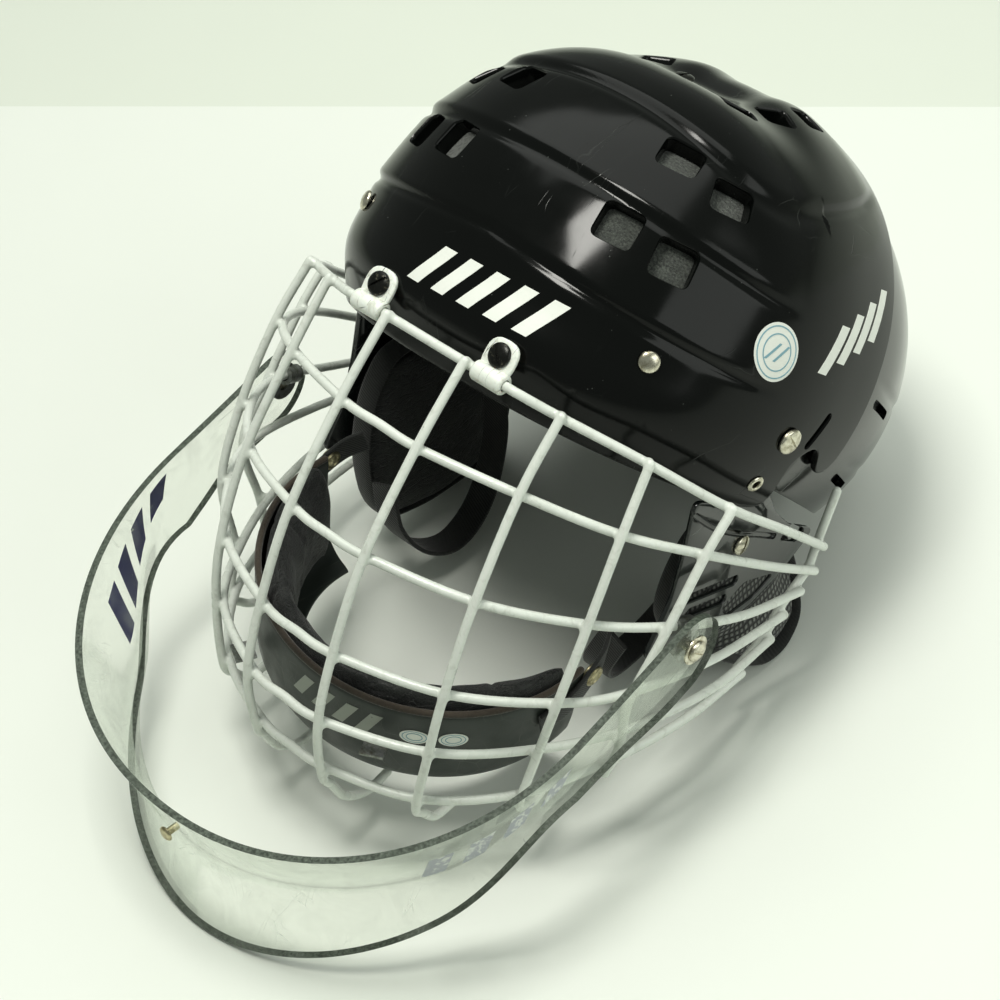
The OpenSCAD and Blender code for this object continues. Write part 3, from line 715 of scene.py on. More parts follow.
def before(x, z):
    """Points of the forehead, in front of a place in the front view."""
    x, z = np.asarray(x, float), np.asarray(z, float)
    g = (1 - (z / HIGH) ** 2) ** (SQUARE / 2) - np.abs(x / HALF_W) ** SQUARE
    return np.stack([x, -FRONT * np.maximum(g, 0) ** (1 / SQUARE) * flare(-FRONT, z), z], axis=-1)


def stand(p):
    """Stands a frame up along the outward direction at a point of the dome."""
    n = outward(p)
    turn = Matrix.Rotation(math.atan2(n[1], n[0]), 4, "Z") @ Matrix.Rotation(math.acos(n[2]), 4, "Y")
    return Matrix.Translation(p) @ turn


def plateau(x, y):
    """Distance inside the edge of the crown's raised part, in plan."""
    ahead = np.maximum(-30 - y, 0) / 50
    round_front = (1 - (np.abs(x / 73) ** 3 + ahead ** 3) ** (1 / 3)) * 52
    side = 73 - 0.0041 * (y + 30) ** 2 - np.abs(x)
    return np.where(y < -30, round_front, side)


RIDGE_LOW = (17.0, 0.09)
RIDGE_HIGH = (50.0, 0.00125)
GROOVE_WIDE, GROOVE_DEEP = 1.9, 1.5


def groove(s, deep):
    """A moulded line: a small round step up to the ridge with a groove under it."""
    return 0.6 * deep * ease(s, -2.2, 1.6) - 0.8 * deep * np.exp(-((s + 2.4) / GROOVE_WIDE) ** 2)


def relief(p):
    """How far the front shell's ridges, flats and channel stand out from the dome."""
    x, y, z = p[..., 0], p[..., 1], p[..., 2]
    away = np.abs(x)
    low = z - (RIDGE_LOW[0] - RIDGE_LOW[1] * away)
    high = z - (RIDGE_HIGH[0] - RIDGE_HIGH[1] * x * x)
    crown = plateau(x, y)
    fade = ease(y, -46, -72)
    deeper = 0.75 + 0.35 * ease(away, 15, 60)
    out = fade * GROOVE_DEEP * (groove(low, deeper) + groove(high, deeper))
    out += GROOVE_DEEP * groove(crown * 0.9, 0.9) * ease(y, 34, 10) * ease(z, 60, 66)
    between = np.clip(low / 34, 0, 1)
    out -= fade * 4.4 * between * (1 - between)
    upper = np.clip(high / (high + np.maximum(crown, -40) * -0.7 + 1e-6), 0, 1)
    upper = np.where((high > 0) & (crown < 0), upper, 0)
    out -= fade * 3.2 * upper * (1 - upper)
    channel = ease(y, -40, -18) * ease(z, 40, 70)
    out -= channel * 3.2 * np.exp(-(x / 17) ** 4)
    return out


def edge_loop(outline, inset, rear, count):
    """Directions round the edge, where an outline drawn in the side view meets the dome."""
    way = resample(rounded(outline, 6), 4000)
    y, z = way[:, 0], way[:, 1]
    long = np.where(y < 0, FRONT, rear) - inset
    room = np.maximum(1 - (z / (HIGH - inset)) ** 2, 0) ** (SQUARE / 2) - np.abs(y / long) ** SQUARE
    kept = np.column_stack([(HALF_W - inset) * np.maximum(room, 0) ** (1 / SQUARE), y, z])[room > 0]
    kept[0, 0] = kept[-1, 0] = 0
    loop = np.vstack([kept, flip(kept[-2:0:-1])])
    return unit(resample(loop, count, closed=True))


def dome_sheet(outline, inset, wall, rear, pole, columns, rows, raised=None):
    """A domed wall with a rounded rim, inside an outline in the side view; pole points into it."""
    edge = edge_loop(outline, inset, rear, columns)
    middle = unit(pole)
    angle = np.arccos(np.clip(edge @ middle, -1, 1))[:, None]

    def shell(share, depth, lift):
        d = (np.sin((1 - share) * angle) * middle + np.sin(share * angle) * edge) / np.sin(angle)
        p = plain_dome(d, depth, rear)
        return shaped(p) + (lift(p)[:, None] * outward(p) if lift else 0)

    outside = [shell(t, inset, raised) for t in np.linspace(0, 1, rows)[1:]]
    inside = [shell(t, inset + wall, None) for t in np.linspace(1, 0, max(rows // 4, 8))[:-1]]
    middle_line = (outside[-1] + inside[0]) / 2
    half = (outside[-1] - inside[0]) / 2
    beyond = unit(outside[-1] - outside[-2]) * np.linalg.norm(half, axis=1)[:, None] * 0.75
    turns = np.radians([25, 50, 75, 105, 130, 155])
    rim = [middle_line + math.cos(a) * half + math.sin(a) * beyond for a in turns]
    tips = [shaped(plain_dome(middle, depth, rear)) for depth in (inset, inset + wall)]
    if raised:
        tips[0] = tips[0] + raised(plain_dome(middle, inset, rear)) * outward(tips[0])
    return loft(outside + rim + inside, tips[0], tips[1])


def onto_dome(points, n):
    """Moves points along n until they meet the outside of the dome."""
    q = np.array(points, float)
    n = np.asarray(n, float)

    def height(p):
        x, y, z = p[:, 0], p[:, 1], p[:, 2] + dip(p[:, 0], p[:, 1])
        return np.sqrt(in_plan(x, y) ** (2 / SQUARE) + (z / HIGH) ** 2) - 1

    for _ in range(6):
        slope = (height(q + n * 0.05) - height(q)) / 0.05
        q = q - n * (height(q) / slope)[:, None]
    return q


def window_block(place, size, turn, levels):
    """A closed block square to the dome; each level is (height above the surface, how far it grows)."""
    centre = above(*place)
    frame_at = np.array(stand(centre) @ Matrix.Rotation(math.radians(turn), 4, "Z"))
    n = frame_at[:3, 2]
    outline = box_outline(*size, WINDOW_CORNER)
    rings = []
    for h, grow in levels:
        flat = grown(outline, grow)
        spread = centre + flat[:, :1] * frame_at[:3, 0] + flat[:, 1:] * frame_at[:3, 1]
        on = onto_dome(spread, n)
        rings.append(on + relief(on)[:, None] * n + n * h)
    return loft(rings)


WINDOW_CORNER = 2.8
# Windows on the wearer's left: place across and along, length, width and turn about its middle
WINDOWS = [((42, -108.5), (15, 16), 0), ((64.5, -98), (15, 16), 0), ((40.5, -87), (14, 16), 0),
           ((63, -77.5), (14, 16), 0), ((27.5, -43), (12, 15), 15), ((31, -20), (13, 14), 0),
           ((32, 2), (13, 13), 0), ((30, 22), (12, 12), 0)]
LIP = [(2.5, 2.2), (0.5, 1.0), (0, 0.62), (-0.45, 0.3), (-0.95, 0.1), (-1.6, 0.0), (-7.6, -0.25)]
SLEEVE = [(-1.4, 1.5), (-7.1, 1.3)]

RIVET_AT = beside(-98, -2)
ADJUST_AT = beside(-28.5, -9.5)
EYELET_AT = beside(-29, -30.5)
CROWN_AT = above(0, -45)
SLOT_FROM, SLOT_TO = beside(-14, -9), beside(-10, 4)

FRONT_OUTLINE = [(-170, -42), (-24, -42), (-12, -39.5), (-17, -18), (-10, -9.5), (-2.5, -9.5), (5, -20),
                 (15, -17),
                 (21, 26), (29, 66), (44, 112), (50, 150)]
REAR_OUTLINE = [(170, -52), (70, -42), (24, -36), (-8, -32), (-2, 26), (6, 66), (20, 110), (30, 150)]
FRONT_FOAM_OUTLINE = [(-170, -36), (-50, -36), (-50, -10), (-26, 26), (-18, 66), (-8, 150)]
REAR_FOAM_OUTLINE = [(170, -46), (70, -36), (34, -26), (6, -6), (6, 26), (12, 66), (26, 110), (36, 150)]
FRONT_POLE, REAR_POLE = (0, -50, 88), (0, 112, 50)


def slot_block(a, b, r, levels):
    """A block over a slot between two places on the wearer's left side of the dome."""
    frame_at = np.array(stand((np.array(a) + b) / 2))
    ends = [(np.array(p) - frame_at[:3, 3]) @ frame_at[:3, :2] for p in (a, b)]
    return moved(prism(capsule(*ends, r), levels), frame_at)


def both(mesh):
    return merged([mesh, moved(mesh, MIRROR)])


def make_front_shell():
    sheet = dome_sheet(FRONT_OUTLINE, 0, WALL, REAR, FRONT_POLE, 640, 165, relief)
    shell = new_object("front_shell_skin", sheet, SHELL)
    sleeves = [window_block(*w, SLEEVE) for w in WINDOWS]
    carve(shell, both(merged(sleeves)), SHELL, "UNION")
    cuts = [window_block(*w, LIP) for w in WINDOWS]
    cuts.append(slot_block(SLOT_FROM, SLOT_TO, 1.6, [(1.2, 1.2), (0, 0.5), (-0.7, 0), (-6, 0)]))
    cuts.append(moved(prism(circle(2.9), [(2, 0), (-6, 0)]), stand(EYELET_AT)))
    carve(shell, both(merged(cuts)), SHELL)
    finish_piece(shell, "helmet", BLACK, ["front_shell"], 50)


REAR_CUT = [(6, 0), (-16, 0)]


def make_rear_shell():
    def ribs(p):
        x, y, z = p[..., 0], p[..., 1], p[..., 2]
        band = z - (30 - 0.18 * y)
        lower = -18 - z - 0.1 * (y - 60)
        return (0.7 * groove(band, 1.0) + 0.5 * groove(lower, 1.0)) * ease(y, 30, 60)

    sheet = dome_sheet(REAR_OUTLINE, REAR_OUT, WALL, REAR_LONG, REAR_POLE, 520, 90, ribs)
    shell = new_object("rear_shell_skin", sheet, SHELL)
    slit = prism(box_outline(3, 16, 1.4), REAR_CUT)
    cuts = [moved(slit, stand(above(30, 44 + 6 * i))) for i in range(5)]
    for z in (-22, 14):
        cuts.append(slot_block(beside(40, z), beside(62, z - 4), 2, REAR_CUT))
    carve(shell, both(merged(cuts)), SHELL)
    finish_piece(shell, "rear", REAR_BLACK, ["rear_shell"], 50)


FELT_DEPTH = 6.7


def make_liners():
    front = dome_sheet(FRONT_FOAM_OUTLINE, FELT_DEPTH, 9.5, REAR, FRONT_POLE, 180, 36)
    piece("front_liner_felt", front, SHELL, "helmet", FELT, ["front_liner"])
    rear = dome_sheet(REAR_FOAM_OUTLINE, REAR_OUT + WALL + 2, 7.2, REAR_LONG, REAR_POLE, 160, 32)
    piece("rear_liner_felt", rear, SHELL, "rear", FELT, ["rear_liner"])


make_front_shell()
make_rear_shell()
make_liners()

# ---- padded pieces ----


def puff(obj, voxel, cap, shrink):
    """Shrinks a closed soft solid, then swells it with a pressure cloth; no point moves further than cap."""
    modify(obj, "REMESH", mode="VOXEL", voxel_size=voxel)
    modify(obj, "DISPLACE", strength=-shrink, mid_level=0.0)
    rest = np.array([v.co for v in obj.data.vertices])
    cloth = obj.modifiers.new("cloth", "CLOTH")
    cloth.settings.use_pressure = True
    cloth.settings.uniform_pressure_force = 4
    cloth.settings.effector_weights.gravity = 0
    for step in range(1, 21):
        scene.frame_set(step)
    graph = bpy.context.evaluated_depsgraph_get()
    made = bpy.data.meshes.new_from_object(obj.evaluated_get(graph))
    there = np.array([v.co for v in made.vertices])
    obj.modifiers.clear()
    scene.frame_set(1)
    move = there - rest
    far = np.linalg.norm(move, axis=1, keepdims=True)
    move *= np.minimum(1, cap / np.maximum(far, 1e-9))
    obj.data.vertices.foreach_set("co", (rest + move).ravel())
    bpy.data.meshes.remove(made)
    modify(obj, "SMOOTH", factor=0.5, iterations=3)
    return modify(obj, "SUBSURF", levels=1)


def crease(obj, place, depth_at):
    """Presses seams into a piece; depth_at takes points in the piece's own frame, and gives millimetres."""
    inverse = np.array(place.inverted())
    co = np.array([v.co for v in obj.data.vertices])
    normals = np.array([v.normal for v in obj.data.vertices])
    local = co @ inverse[:3, :3].T + inverse[:3, 3]
    obj.data.vertices.foreach_set("co", (co - normals * (depth_at(local) * MM)[:, None]).ravel())
    obj.data.update()
    return obj


SLAB_STEP = 3.0


def bent_slab(turns, rises, insets, rear):
    """A pad that follows the inside of the dome; turns and rises are in degrees."""
    (low, high), (outer, inner) = rises, insets
    section = rounded([(low, outer), (high, outer), (high, inner), (low, inner)], 3, closed=True, steps=4)
    rings = []
    for turn in np.arange(turns[0], turns[1] + SLAB_STEP, SLAB_STEP):
        ring = []
        for rise, inset in section:
            a, r = math.radians(turn), math.radians(rise)
            long = (FRONT if math.cos(a) > 0 else rear) - inset
            p = ((HALF_W - inset) * math.cos(r) * spow(math.sin(a), 2 / SQUARE),
                 -long * math.cos(r) * spow(math.cos(a), 2 / SQUARE), (HIGH - inset) * math.sin(r))
            ring.append(shaped(np.array(p)))
        rings.append(ring)
    return loft(rings)


BROW_PAD_IN = WALL + 1.6 + 12 + 1.6
NAPE_PAD_IN = REAR_OUT + WALL + 1.6 + 12 - 2


def make_brow_and_nape_pads():
    brow_slab = bent_slab((-52, 52), (-19, -3), (BROW_PAD_IN, BROW_PAD_IN + 9), REAR)
    brow = new_object("brow_pad_leather", brow_slab, SHELL)
    puff(brow, 0.004, 0.005, 0.001)
    nape_slab = bent_slab((145, 215), (-16, -2), (NAPE_PAD_IN, NAPE_PAD_IN + 8), REAR_LONG)
    nape = new_object("nape_pad_leather", nape_slab, SHELL)
    puff(nape, 0.004, 0.005, 0.001)
    for pad, body, node in ((brow, "helmet", "brow_pad"), (nape, "rear", "nape_pad")):
        finish_piece(pad, body, LEATHER, [node], 80)


make_brow_and_nape_pads()

# ---- ear guards, ear pads and their webbing, in the side planes of the cage's frame ----

EAR_X, EAR_T = 91.5, 2.5
EAR_OUTLINE = [(50, -57), (44, -85), (38, -104), (23, -125), (60, -142), (92, -143), (110, -138),
               (128, -129),
               (132, -125), (115, -112), (104, -98), (96, -78), (88, -63), (82, -52), (70, -50),
               (72, -70), (64, -66)]
EAR_SLOTS = [((48, -108), (79, -119)), ((50, -117), (72, -125))]
EAR_WINDOW = [(72, -130), (86, -125), (106, -134), (94, -138), (76, -137)]
EAR_BACK_WINDOW = [(108, -116), (116, -112), (126, -122), (120, -125)]
EAR_CHANNEL = [(50, -64), (63, -79), (78, -92), (92, -102), (104, -111)]
EAR_SCREW_AT = (81, -100)
SIDE_AXES = Matrix(((0, 0, 1, 0), (1, 0, 0, 0), (0, 1, 0, 0), (0, 0, 0, 1)))


def side_plane(x):
    """A flat frame beside the head: its x runs back, its y up and its z outward."""
    return Matrix.Translation((x, 0, 0)) @ SIDE_AXES


def make_ear_guard(name, s):
    place = on_side(CAGE, s) @ side_plane(EAR_X)
    outline = resample(rounded(EAR_OUTLINE, 5, closed=True), 260, closed=True)
    plate = prism(outline, edge_levels(0, EAR_T, [(0, -0.7), (0.25, -0.2), (0.7, 0)]))
    guard = new_object("ear_guard_" + name + "_plate", plate, place)
    through = edge_levels(0, EAR_T, [(-0.4, 1.0), (0.1, 0.45), (0.7, 0)])
    holes = [prism(capsule(*slot, 2.2), through) for slot in EAR_SLOTS]
    holes += [prism(rounded(w, 3, closed=True), through) for w in (EAR_WINDOW, EAR_BACK_WINDOW)]
    carve(guard, merged(holes), place)
    bar = np.column_stack([smooth(EAR_CHANNEL, 6), np.full(len(EAR_CHANNEL) * 6 - 5, EAR_T)])
    carve(guard, tube(bar, 1.5, 12), place)
    finish_piece(guard, "helmet", SMOKED, ["ear_guard_" + name])


EAR_PAD_SECTIONS = {
    "left": [(-92, 66, 98, 77, 88), (-106, 54, 110, 75, 89.5), (-126, 48, 122, 75, 89.5),
             (-146, 58, 129, 77, 91),
             (-160, 72, 129, 81, 94), (-172, 86, 126, 86, 97), (-180.4, 100, 114, 90, 98)],
    "right": [(-84, 54, 94, 77, 88), (-100, 42, 108, 75, 89.5), (-126, 36, 120, 75, 89.5),
              (-150, 38, 127, 75, 90),
              (-165, 43, 125, 76, 91), (-175, 52, 121, 78, 91), (-181.5, 76, 106, 80, 91)],
}


def ear_pad_rings(sections):
    rings = []
    for z, front, back, inner, outer in smooth(sections, 4):
        corner = [(inner, front), (outer, front), (outer, back), (inner, back)]
        flat = rounded(corner, 5, closed=True)
        rings.append(np.column_stack([flat, np.full(len(flat), z)]))
    return loft(rings)


def make_ear_pad(name, s):
    place = on_side(CAGE, s)
    pad = new_object("ear_pad_" + name + "_foam", ear_pad_rings(EAR_PAD_SECTIONS[name]), place)
    puff(pad, 0.0035, 0.004, 0.0012)
    material, slot = (MESH_PAD, "mesh_pad") if s > 0 else (LEATHER, "mesh_pad")
    finish_piece(pad, "helmet", material, ["ear_pad_" + name], 80)
    rows = smooth(EAR_PAD_SECTIONS[name], 4)
    front = [((r[3] + r[4]) / 2, r[1] + 0.6, r[0]) for r in rows]
    back = [((r[3] + r[4]) / 2, r[2] - 0.6, r[0]) for r in rows[::-1]]
    line = resample(np.array(front + back), 120, closed=True)
    for _ in range(6):
        line = (np.roll(line, 1, axis=0) + 2 * line + np.roll(line, -1, axis=0)) / 4
    piece("ear_pad_" + name + "_binding", binding(line), place, "helmet", WEBBING)


def binding(line):
    """A folded tape round the edge of a pad, wider across than it is thick."""
    ring = np.array(line)
    along = unit(np.roll(ring, -1, axis=0) - np.roll(ring, 1, axis=0))
    middle = ring.mean(axis=0)
    rings = []
    for p, t in zip(ring, along):
        across = unit(np.array((1.0, 0, 0)) - t * t[0])
        away = unit(np.cross(t, across))
        if away @ (p - middle) < 0:
            away = -away
        turn = np.radians(np.arange(0, 360, 24))
        rings.append([p + 5.6 * math.cos(a) * across + 1.7 * math.sin(a) * away for a in turn])
    return loft(rings, loop=True)


STRAP_ROUTE = [(66.8, 104, -114), (60.8, 100, -142), (54.8, 84, -168), (51.8, 62, -178), (54.8, 44, -172),
               (60.8, 34, -156), (67.8, 36, -138)]


def make_ear_strap(name, s):
    webbing = strap(smooth(STRAP_ROUTE, 10), (1, 0, 0), 7, 1, 0.8)
    piece("ear_strap_" + name + "_webbing", webbing, on_side(CAGE, s), "helmet", WEBBING,
          ["ear_strap_" + name])


for side_name, side in SIDES.items():
    make_ear_guard(side_name, side)
    make_ear_pad(side_name, side)
    make_ear_strap(side_name, side)

# ---- fasteners ----


def make_screw(node, place, body, material, r, h, slot_w, shank_r, shank, base):
    """A domed screw with a slot and a rounded rim, in place of a CAD node; the head's underside is at base."""
    rim = base + h * 0.35
    dome = [(shank_r, base - shank), (shank_r, base), (r - 0.5, base), (r, base + 0.25), (r, rim)]
    for a in np.radians(np.linspace(12, 84, 8)):
        dome.append((r * math.cos(a), rim + h * 0.65 * math.sin(a)))
    screw = new_object(node + "_head", lathe(dome))
    slot = prism(box_outline(2 * r + 2, slot_w, 0.2), [(base + h - 1.0, 0), (base + h + 1, 0)])
    carve(screw, slot, Matrix.Identity(4))
    screw.data.transform(place)
    if place.determinant() < 0:
        screw.data.flip_normals()
    finish_piece(screw, body, material, [node], 40)


def turned_z(degrees):
    return Matrix.Rotation(math.radians(degrees), 4, "Z")


# The clip's place across, half width and radii; its tab's turn, length, faces and screw
CLIP_X, CLIP_HALF_W, CLIP_IN, CLIP_OUT = 32, 7.5, 2.4, 2.4 + 1.8
TAB_RISE, TAB_LENGTH, TAB_LOW, TAB_TOP = 48, 15.5, -0.9, 2.1 - 0.9
TAB_SCREW = (9, 0.9, 0)


def on_tab():
    across = Matrix.Translation((CLIP_X, 0, 0)) @ Matrix.Rotation(math.pi / 2, 4, "Y")
    return across @ turned_z(90 + TAB_RISE)


def on_clip():
    return on_tab() @ Matrix.Translation(TAB_SCREW) @ Matrix.Rotation(-math.pi / 2, 4, "X")


EYELET = [(1.75, -13.6), (1.75, 0.9), (2.5, 1.15), (3.3, 1.0), (3.9, 0.2), (2.5, 0.1), (2.4, -13.6)]
PIVOT = (119, 22, -99)
STUD_AT = (-18, -136.6, -183.5)


def make_fasteners():
    for name, s in SIDES.items():
        side_shell, side_cage = on_side(SHELL, s), on_side(CAGE, s)
        make_screw("adjust_screw_" + name, side_shell @ stand(ADJUST_AT) @ turned_z(65), "helmet",
                   NICKEL, 5.5, 2.6, 1.5, 1.9, 12, 0.2)
        screw_at = Matrix.Translation((EAR_X + EAR_T, *EAR_SCREW_AT)) @ Matrix.Rotation(math.pi / 2, 4, "Y")
        make_screw("ear_guard_screw_" + name, side_cage @ screw_at @ turned_z(-30), "helmet",
                   NICKEL, 4.5, 2.2, 1.2, 2, 3, 0.05)
        make_screw("brow_screw_" + name, side_cage @ on_clip() @ turned_z(40), "helmet",
                   SCREW_BLACK, 4.9, 2.4, 1.2, 2, 9, 0.05)
        pivot_at = side_cage @ Matrix.Translation(PIVOT) @ Matrix.Rotation(math.pi / 2, 4, "Y")
        make_screw("guard_screw_" + name, pivot_at @ turned_z(50), "guard",
                   NICKEL, 4.6, 2.4, 1.3, 2.4, 6, 1.2)
        washer = pipe([(2.6, 0.35), (6.2, 0.35), (6.5, 0.6), (6.4, 1.15), (5.9, 1.3), (2.6, 1.3)])
        piece("guard_washer_" + name, washer, pivot_at, "guard", NICKEL)
        piece("eyelet_" + name + "_ring", pipe(rounded(EYELET, 0.5, closed=True, steps=4)),
              side_shell @ stand(EYELET_AT), "helmet", NICKEL, ["eyelet_" + name])
        dome = [(2, -3.3), (2, 0.3), (4.0, 0.4), (4.35, 0.65), (4.3, 0.95)]
        dome += [(4.3 * math.cos(a), 0.95 + 1.75 * math.sin(a)) for a in np.radians(np.linspace(12, 84, 9))]
        rivet_at = side_shell @ stand(RIVET_AT)
        rivet = piece("dome_rivet_" + name, lathe(dome), rivet_at, "helmet", NICKEL)
        if s > 0:
            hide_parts("dome_rivets")
    make_screw("crown_screw", SHELL @ stand(CROWN_AT), "helmet", SCREW_BLACK,
               4.2, 1.8, 1.2, 2, 4, 0.7)
    stud = [(1.6, -5.4), (1.6, 0.2), (3.1, 0.2), (3.4, 0.5), (3.2, 1.1), (2.6, 1.55), (1.4, 1.75),
    (0.4, 1.7)]
    stud_place = CAGE @ Matrix.Translation(STUD_AT) @ Matrix.Rotation(math.pi / 2, 4, "X")
    piece("guard_stud_cap", lathe(stud), stud_place, "guard", BRASS, ["guard_stud"])


make_fasteners()


def make_brow_clip(name, s):
    half = CLIP_HALF_W
    place = on_side(CAGE, s) @ on_tab()
    edges = edge_levels(-half, half, [(0, -0.9), (0.35, -0.3), (1, 0)])
    clip = new_object("brow_clip_" + name + "_vinyl", prism(circle(CLIP_OUT, 48), edges), place)
    # The tab lies flat on the shell: its outline is in the plane of the tab's length and the clip's width
    tab = rounded([(0, -half), (TAB_LENGTH, -half), (TAB_LENGTH, half), (0, half)], 6.5, closed=True)
    flat = place @ Matrix(((1, 0, 0, 0), (0, 0, -1, 0), (0, 1, 0, 0), (0, 0, 0, 1)))
    carve(clip, prism(tab, edge_levels(TAB_LOW, TAB_TOP, [(0, -0.7), (0.2, -0.2), (0.6, 0)])),
    flat, "UNION")
    carve(clip, prism(circle(CLIP_IN), [(-half - 1, 0), (half + 1, 0)]), place)
    finish_piece(clip, "helmet", VINYL, ["brow_clip_" + name], 42)


for side_name, side in SIDES.items():
    make_brow_clip(side_name, side)

# ---- cage: one welded and coated frame ----

WIRE_R = 2.0
WELD_STEP = 3.4
CAGE_CORE = np.array((0, 60, -80))
BARS = [
    [(0, 0, 0), (22, 0, 0), (40, 0, 0), (46, 0.8, -0.8), (60, 8, -8), (88, 24, -23), (109, 49, -49),
     (114, 82, -80),
     (112, 114, -112)],
    [(0, -27, -25), (20, -26, -26), (60, -14, -32), (92, 6, -45), (109, 34, -63), (115, 72, -92),
     (113, 108, -121)],
    [(0, -57, -61), (20, -55, -62), (62, -40, -68), (93, -14, -77), (109, 14, -88), (115, 55, -108),
     (114, 98, -125)],
    [(0, -76, -100), (20, -74, -101), (62, -57, -105), (93, -29, -109), (108, -4, -112), (114, 42, -123),
     (112, 91, -135)],
    [(0, -85, -130), (20, -83, -131), (60, -64, -134), (86, -31, -139), (103, 4, -142), (112, 45, -144),
     (110, 86, -147)],
    [(0, -84, -159), (19, -82, -160), (56, -67, -162), (84, -38, -161), (99, 0, -160), (106, 38, -160),
     (107, 72, -159)],
]
UPRIGHTS = [
    [(20, 0, 0), (20, -26, -26), (20, -55, -62), (20, -74, -101), (20, -83, -131), (19, -82, -160)],
    [(60, 8, -8), (60, -14, -32), (62, -40, -68), (62, -57, -105), (60, -64, -134), (56, -67, -162)],
    [(89, 24, -23), (92, 6, -45), (94, -14, -77), (93, -29, -109), (86, -31, -139), (84, -38, -161)],
    [(109, 49, -49), (109, 34, -63), (109, 14, -88), (108, -4, -112), (103, -2, -142), (98, -4, -161)],
]
UPRIGHT_TAILS = [
    [(20, -81, -170), (20, -74, -183), (20, -62, -190), (20, -50, -188)],
    [(56, -65, -172), (56, -58, -180), (56, -48, -180)],
    [(84, -36, -170), (83, -29, -174), (82, -21, -172)],
    [],
]
SIDE_RAIL = [(112, 124, -90), (112, 114, -112), (113, 108, -121), (114, 98, -125), (112, 91, -135),
             (110, 86, -147),
             (107, 72, -159)]


def weld(p, s):
    """The bead between a bar and the upright that crosses it outside."""
    p = np.array(p, float) * (s, 1, 1)
    away = unit(p - CAGE_CORE)
    flat = unit(np.cross(away, (0, 0.6, 0.8)))
    return blob(p + away * WELD_STEP * 0.5, [flat * 2.5, np.cross(away, flat) * 2.5, away * 1.9])


def make_cage():
    parts = [tube(smooth(whole(b), 8), WIRE_R) for b in BARS]
    nodes = ["bar_" + str(i + 1) for i in range(len(BARS))]
    for name, s in SIDES.items():
        for i, (route, tail) in enumerate(zip(UPRIGHTS, UPRIGHT_TAILS)):
            p = np.array(route, float)
            line = np.vstack([p + WELD_STEP * unit(p - CAGE_CORE), np.array(tail).reshape(-1, 3)])
            parts.append(tube(smooth(line, 8) * (s, 1, 1), WIRE_R))
            parts += [weld(q, s) for q in route]
            nodes.append("upright_" + name + "_" + str(i + 1))
        rail = smooth(np.array(SIDE_RAIL, float) - (WELD_STEP, 0, 0), 8)
        parts.append(tube(rail * (s, 1, 1), WIRE_R))
        nodes.append("side_rail_" + name)
    cage = new_object("cage_wires", merged(parts), CAGE)
    modify(cage, "REMESH", mode="VOXEL", voxel_size=0.0006)
    modify(cage, "SMOOTH", factor=0.5, iterations=5)
    finish_piece(cage, "cage", COATING, nodes, 180)


make_cage()

# ---- chin cup and its pad ----

CUP_HALF_W, CUP_DEEP, CUP_T = 76, 74, 2.5
CUP_TILT = math.radians(9)
CUP_MID = Vector((0, -60, -130))
TILTED_CUP = (CAGE @ Matrix.Translation(CUP_MID) @ Matrix.Rotation(CUP_TILT, 4, "Y")
              @ Matrix.Translation(-CUP_MID))


def cup_at(degrees, inset, z):
    a = math.radians(degrees)
    return ((CUP_HALF_W - inset) * math.sin(a), -(CUP_DEEP - inset) * math.cos(a), z)


CUP_SECTION = [(0, -119), (1.2, -150), (2.2, -160), (6, -168), (13, -173), (22, -175), (22, -172.5),
               (14, -170.6),
               (8.2, -166), (4.7, -159), (3.7, -150), (CUP_T, -119)]
PAD_SECTION = [(3.1, -118), (4.5, -150), (6.2, -158.5), (11, -165), (20, -165), (17, -146), (14, -116),
               (7, -108)]


def cup_rings(section, r, reach, step, ends):
    """The section swept round the chin; ends squeezes it towards its middle over the last degrees."""
    outline = rounded(section, r, closed=True, steps=5)
    middle = outline.mean(axis=0)
    rings = []
    for a in np.arange(-reach, reach + step / 2, step):
        size = 1.0 if not ends else min(1.0, math.sqrt(max(0.02, (reach - abs(a)) / ends)))
        rings.append([cup_at(a, *(middle + (p - middle) * size)) for p in outline])
    return loft(rings)


def make_chin_cup():
    cup = new_object("chin_cup_shell", cup_rings(CUP_SECTION, 3, 96, 2, 0), TILTED_CUP)
    finish_piece(cup, "cage", CUP, ["chin_cup"], 45)
    rim = [cup_at(a, CUP_T / 2, -118.3) for a in np.arange(-95, 95.1, 2.5)]
    piece("chin_cup_piping", tube(rim, 1.5, 10), TILTED_CUP, "cage", PIPING)


def make_chin_pad():
    pad = new_object("chin_pad_leather", cup_rings(PAD_SECTION, 4, 98, 3, 8), TILTED_CUP)
    puff(pad, 0.0035, 0.006, 0.0015)

    def seams(p):
        turn = np.degrees(np.arctan2(p[:, 0], -p[:, 1]))
        lines = sum(np.exp(-((turn - t) / 1.1) ** 2) for t in (-62, -30, 34, 66))
        along = np.exp(-((p[:, 2] + 113) / 0.9) ** 2)
        return 1.3 * lines + 0.9 * along

    crease(pad, TILTED_CUP, seams)
    finish_piece(pad, "cage", LEATHER, ["chin_pad"], 80)


def on_cup(degrees, z, lift):
    """A place on the outside of the cup, lifted off it."""
    inset = np.interp(-z, (119, 150, 160), (0, 1.2, 2.2))
    return np.array(cup_at(degrees, inset - lift, z))


def cup_bar(turns, rises, slant):
    """A leaning bar of print on the cup, from one turn and rise to another."""
    grid = [[(t + slant * (z - rises[0]), z) for z in np.linspace(*rises, 5)] for t in np.linspace(*turns, 5)]
    lifted = [[[on_cup(t, z, lift) for t, z in row] for row in grid] for lift in (0.2, 0.05)]
    return slab(*lifted)


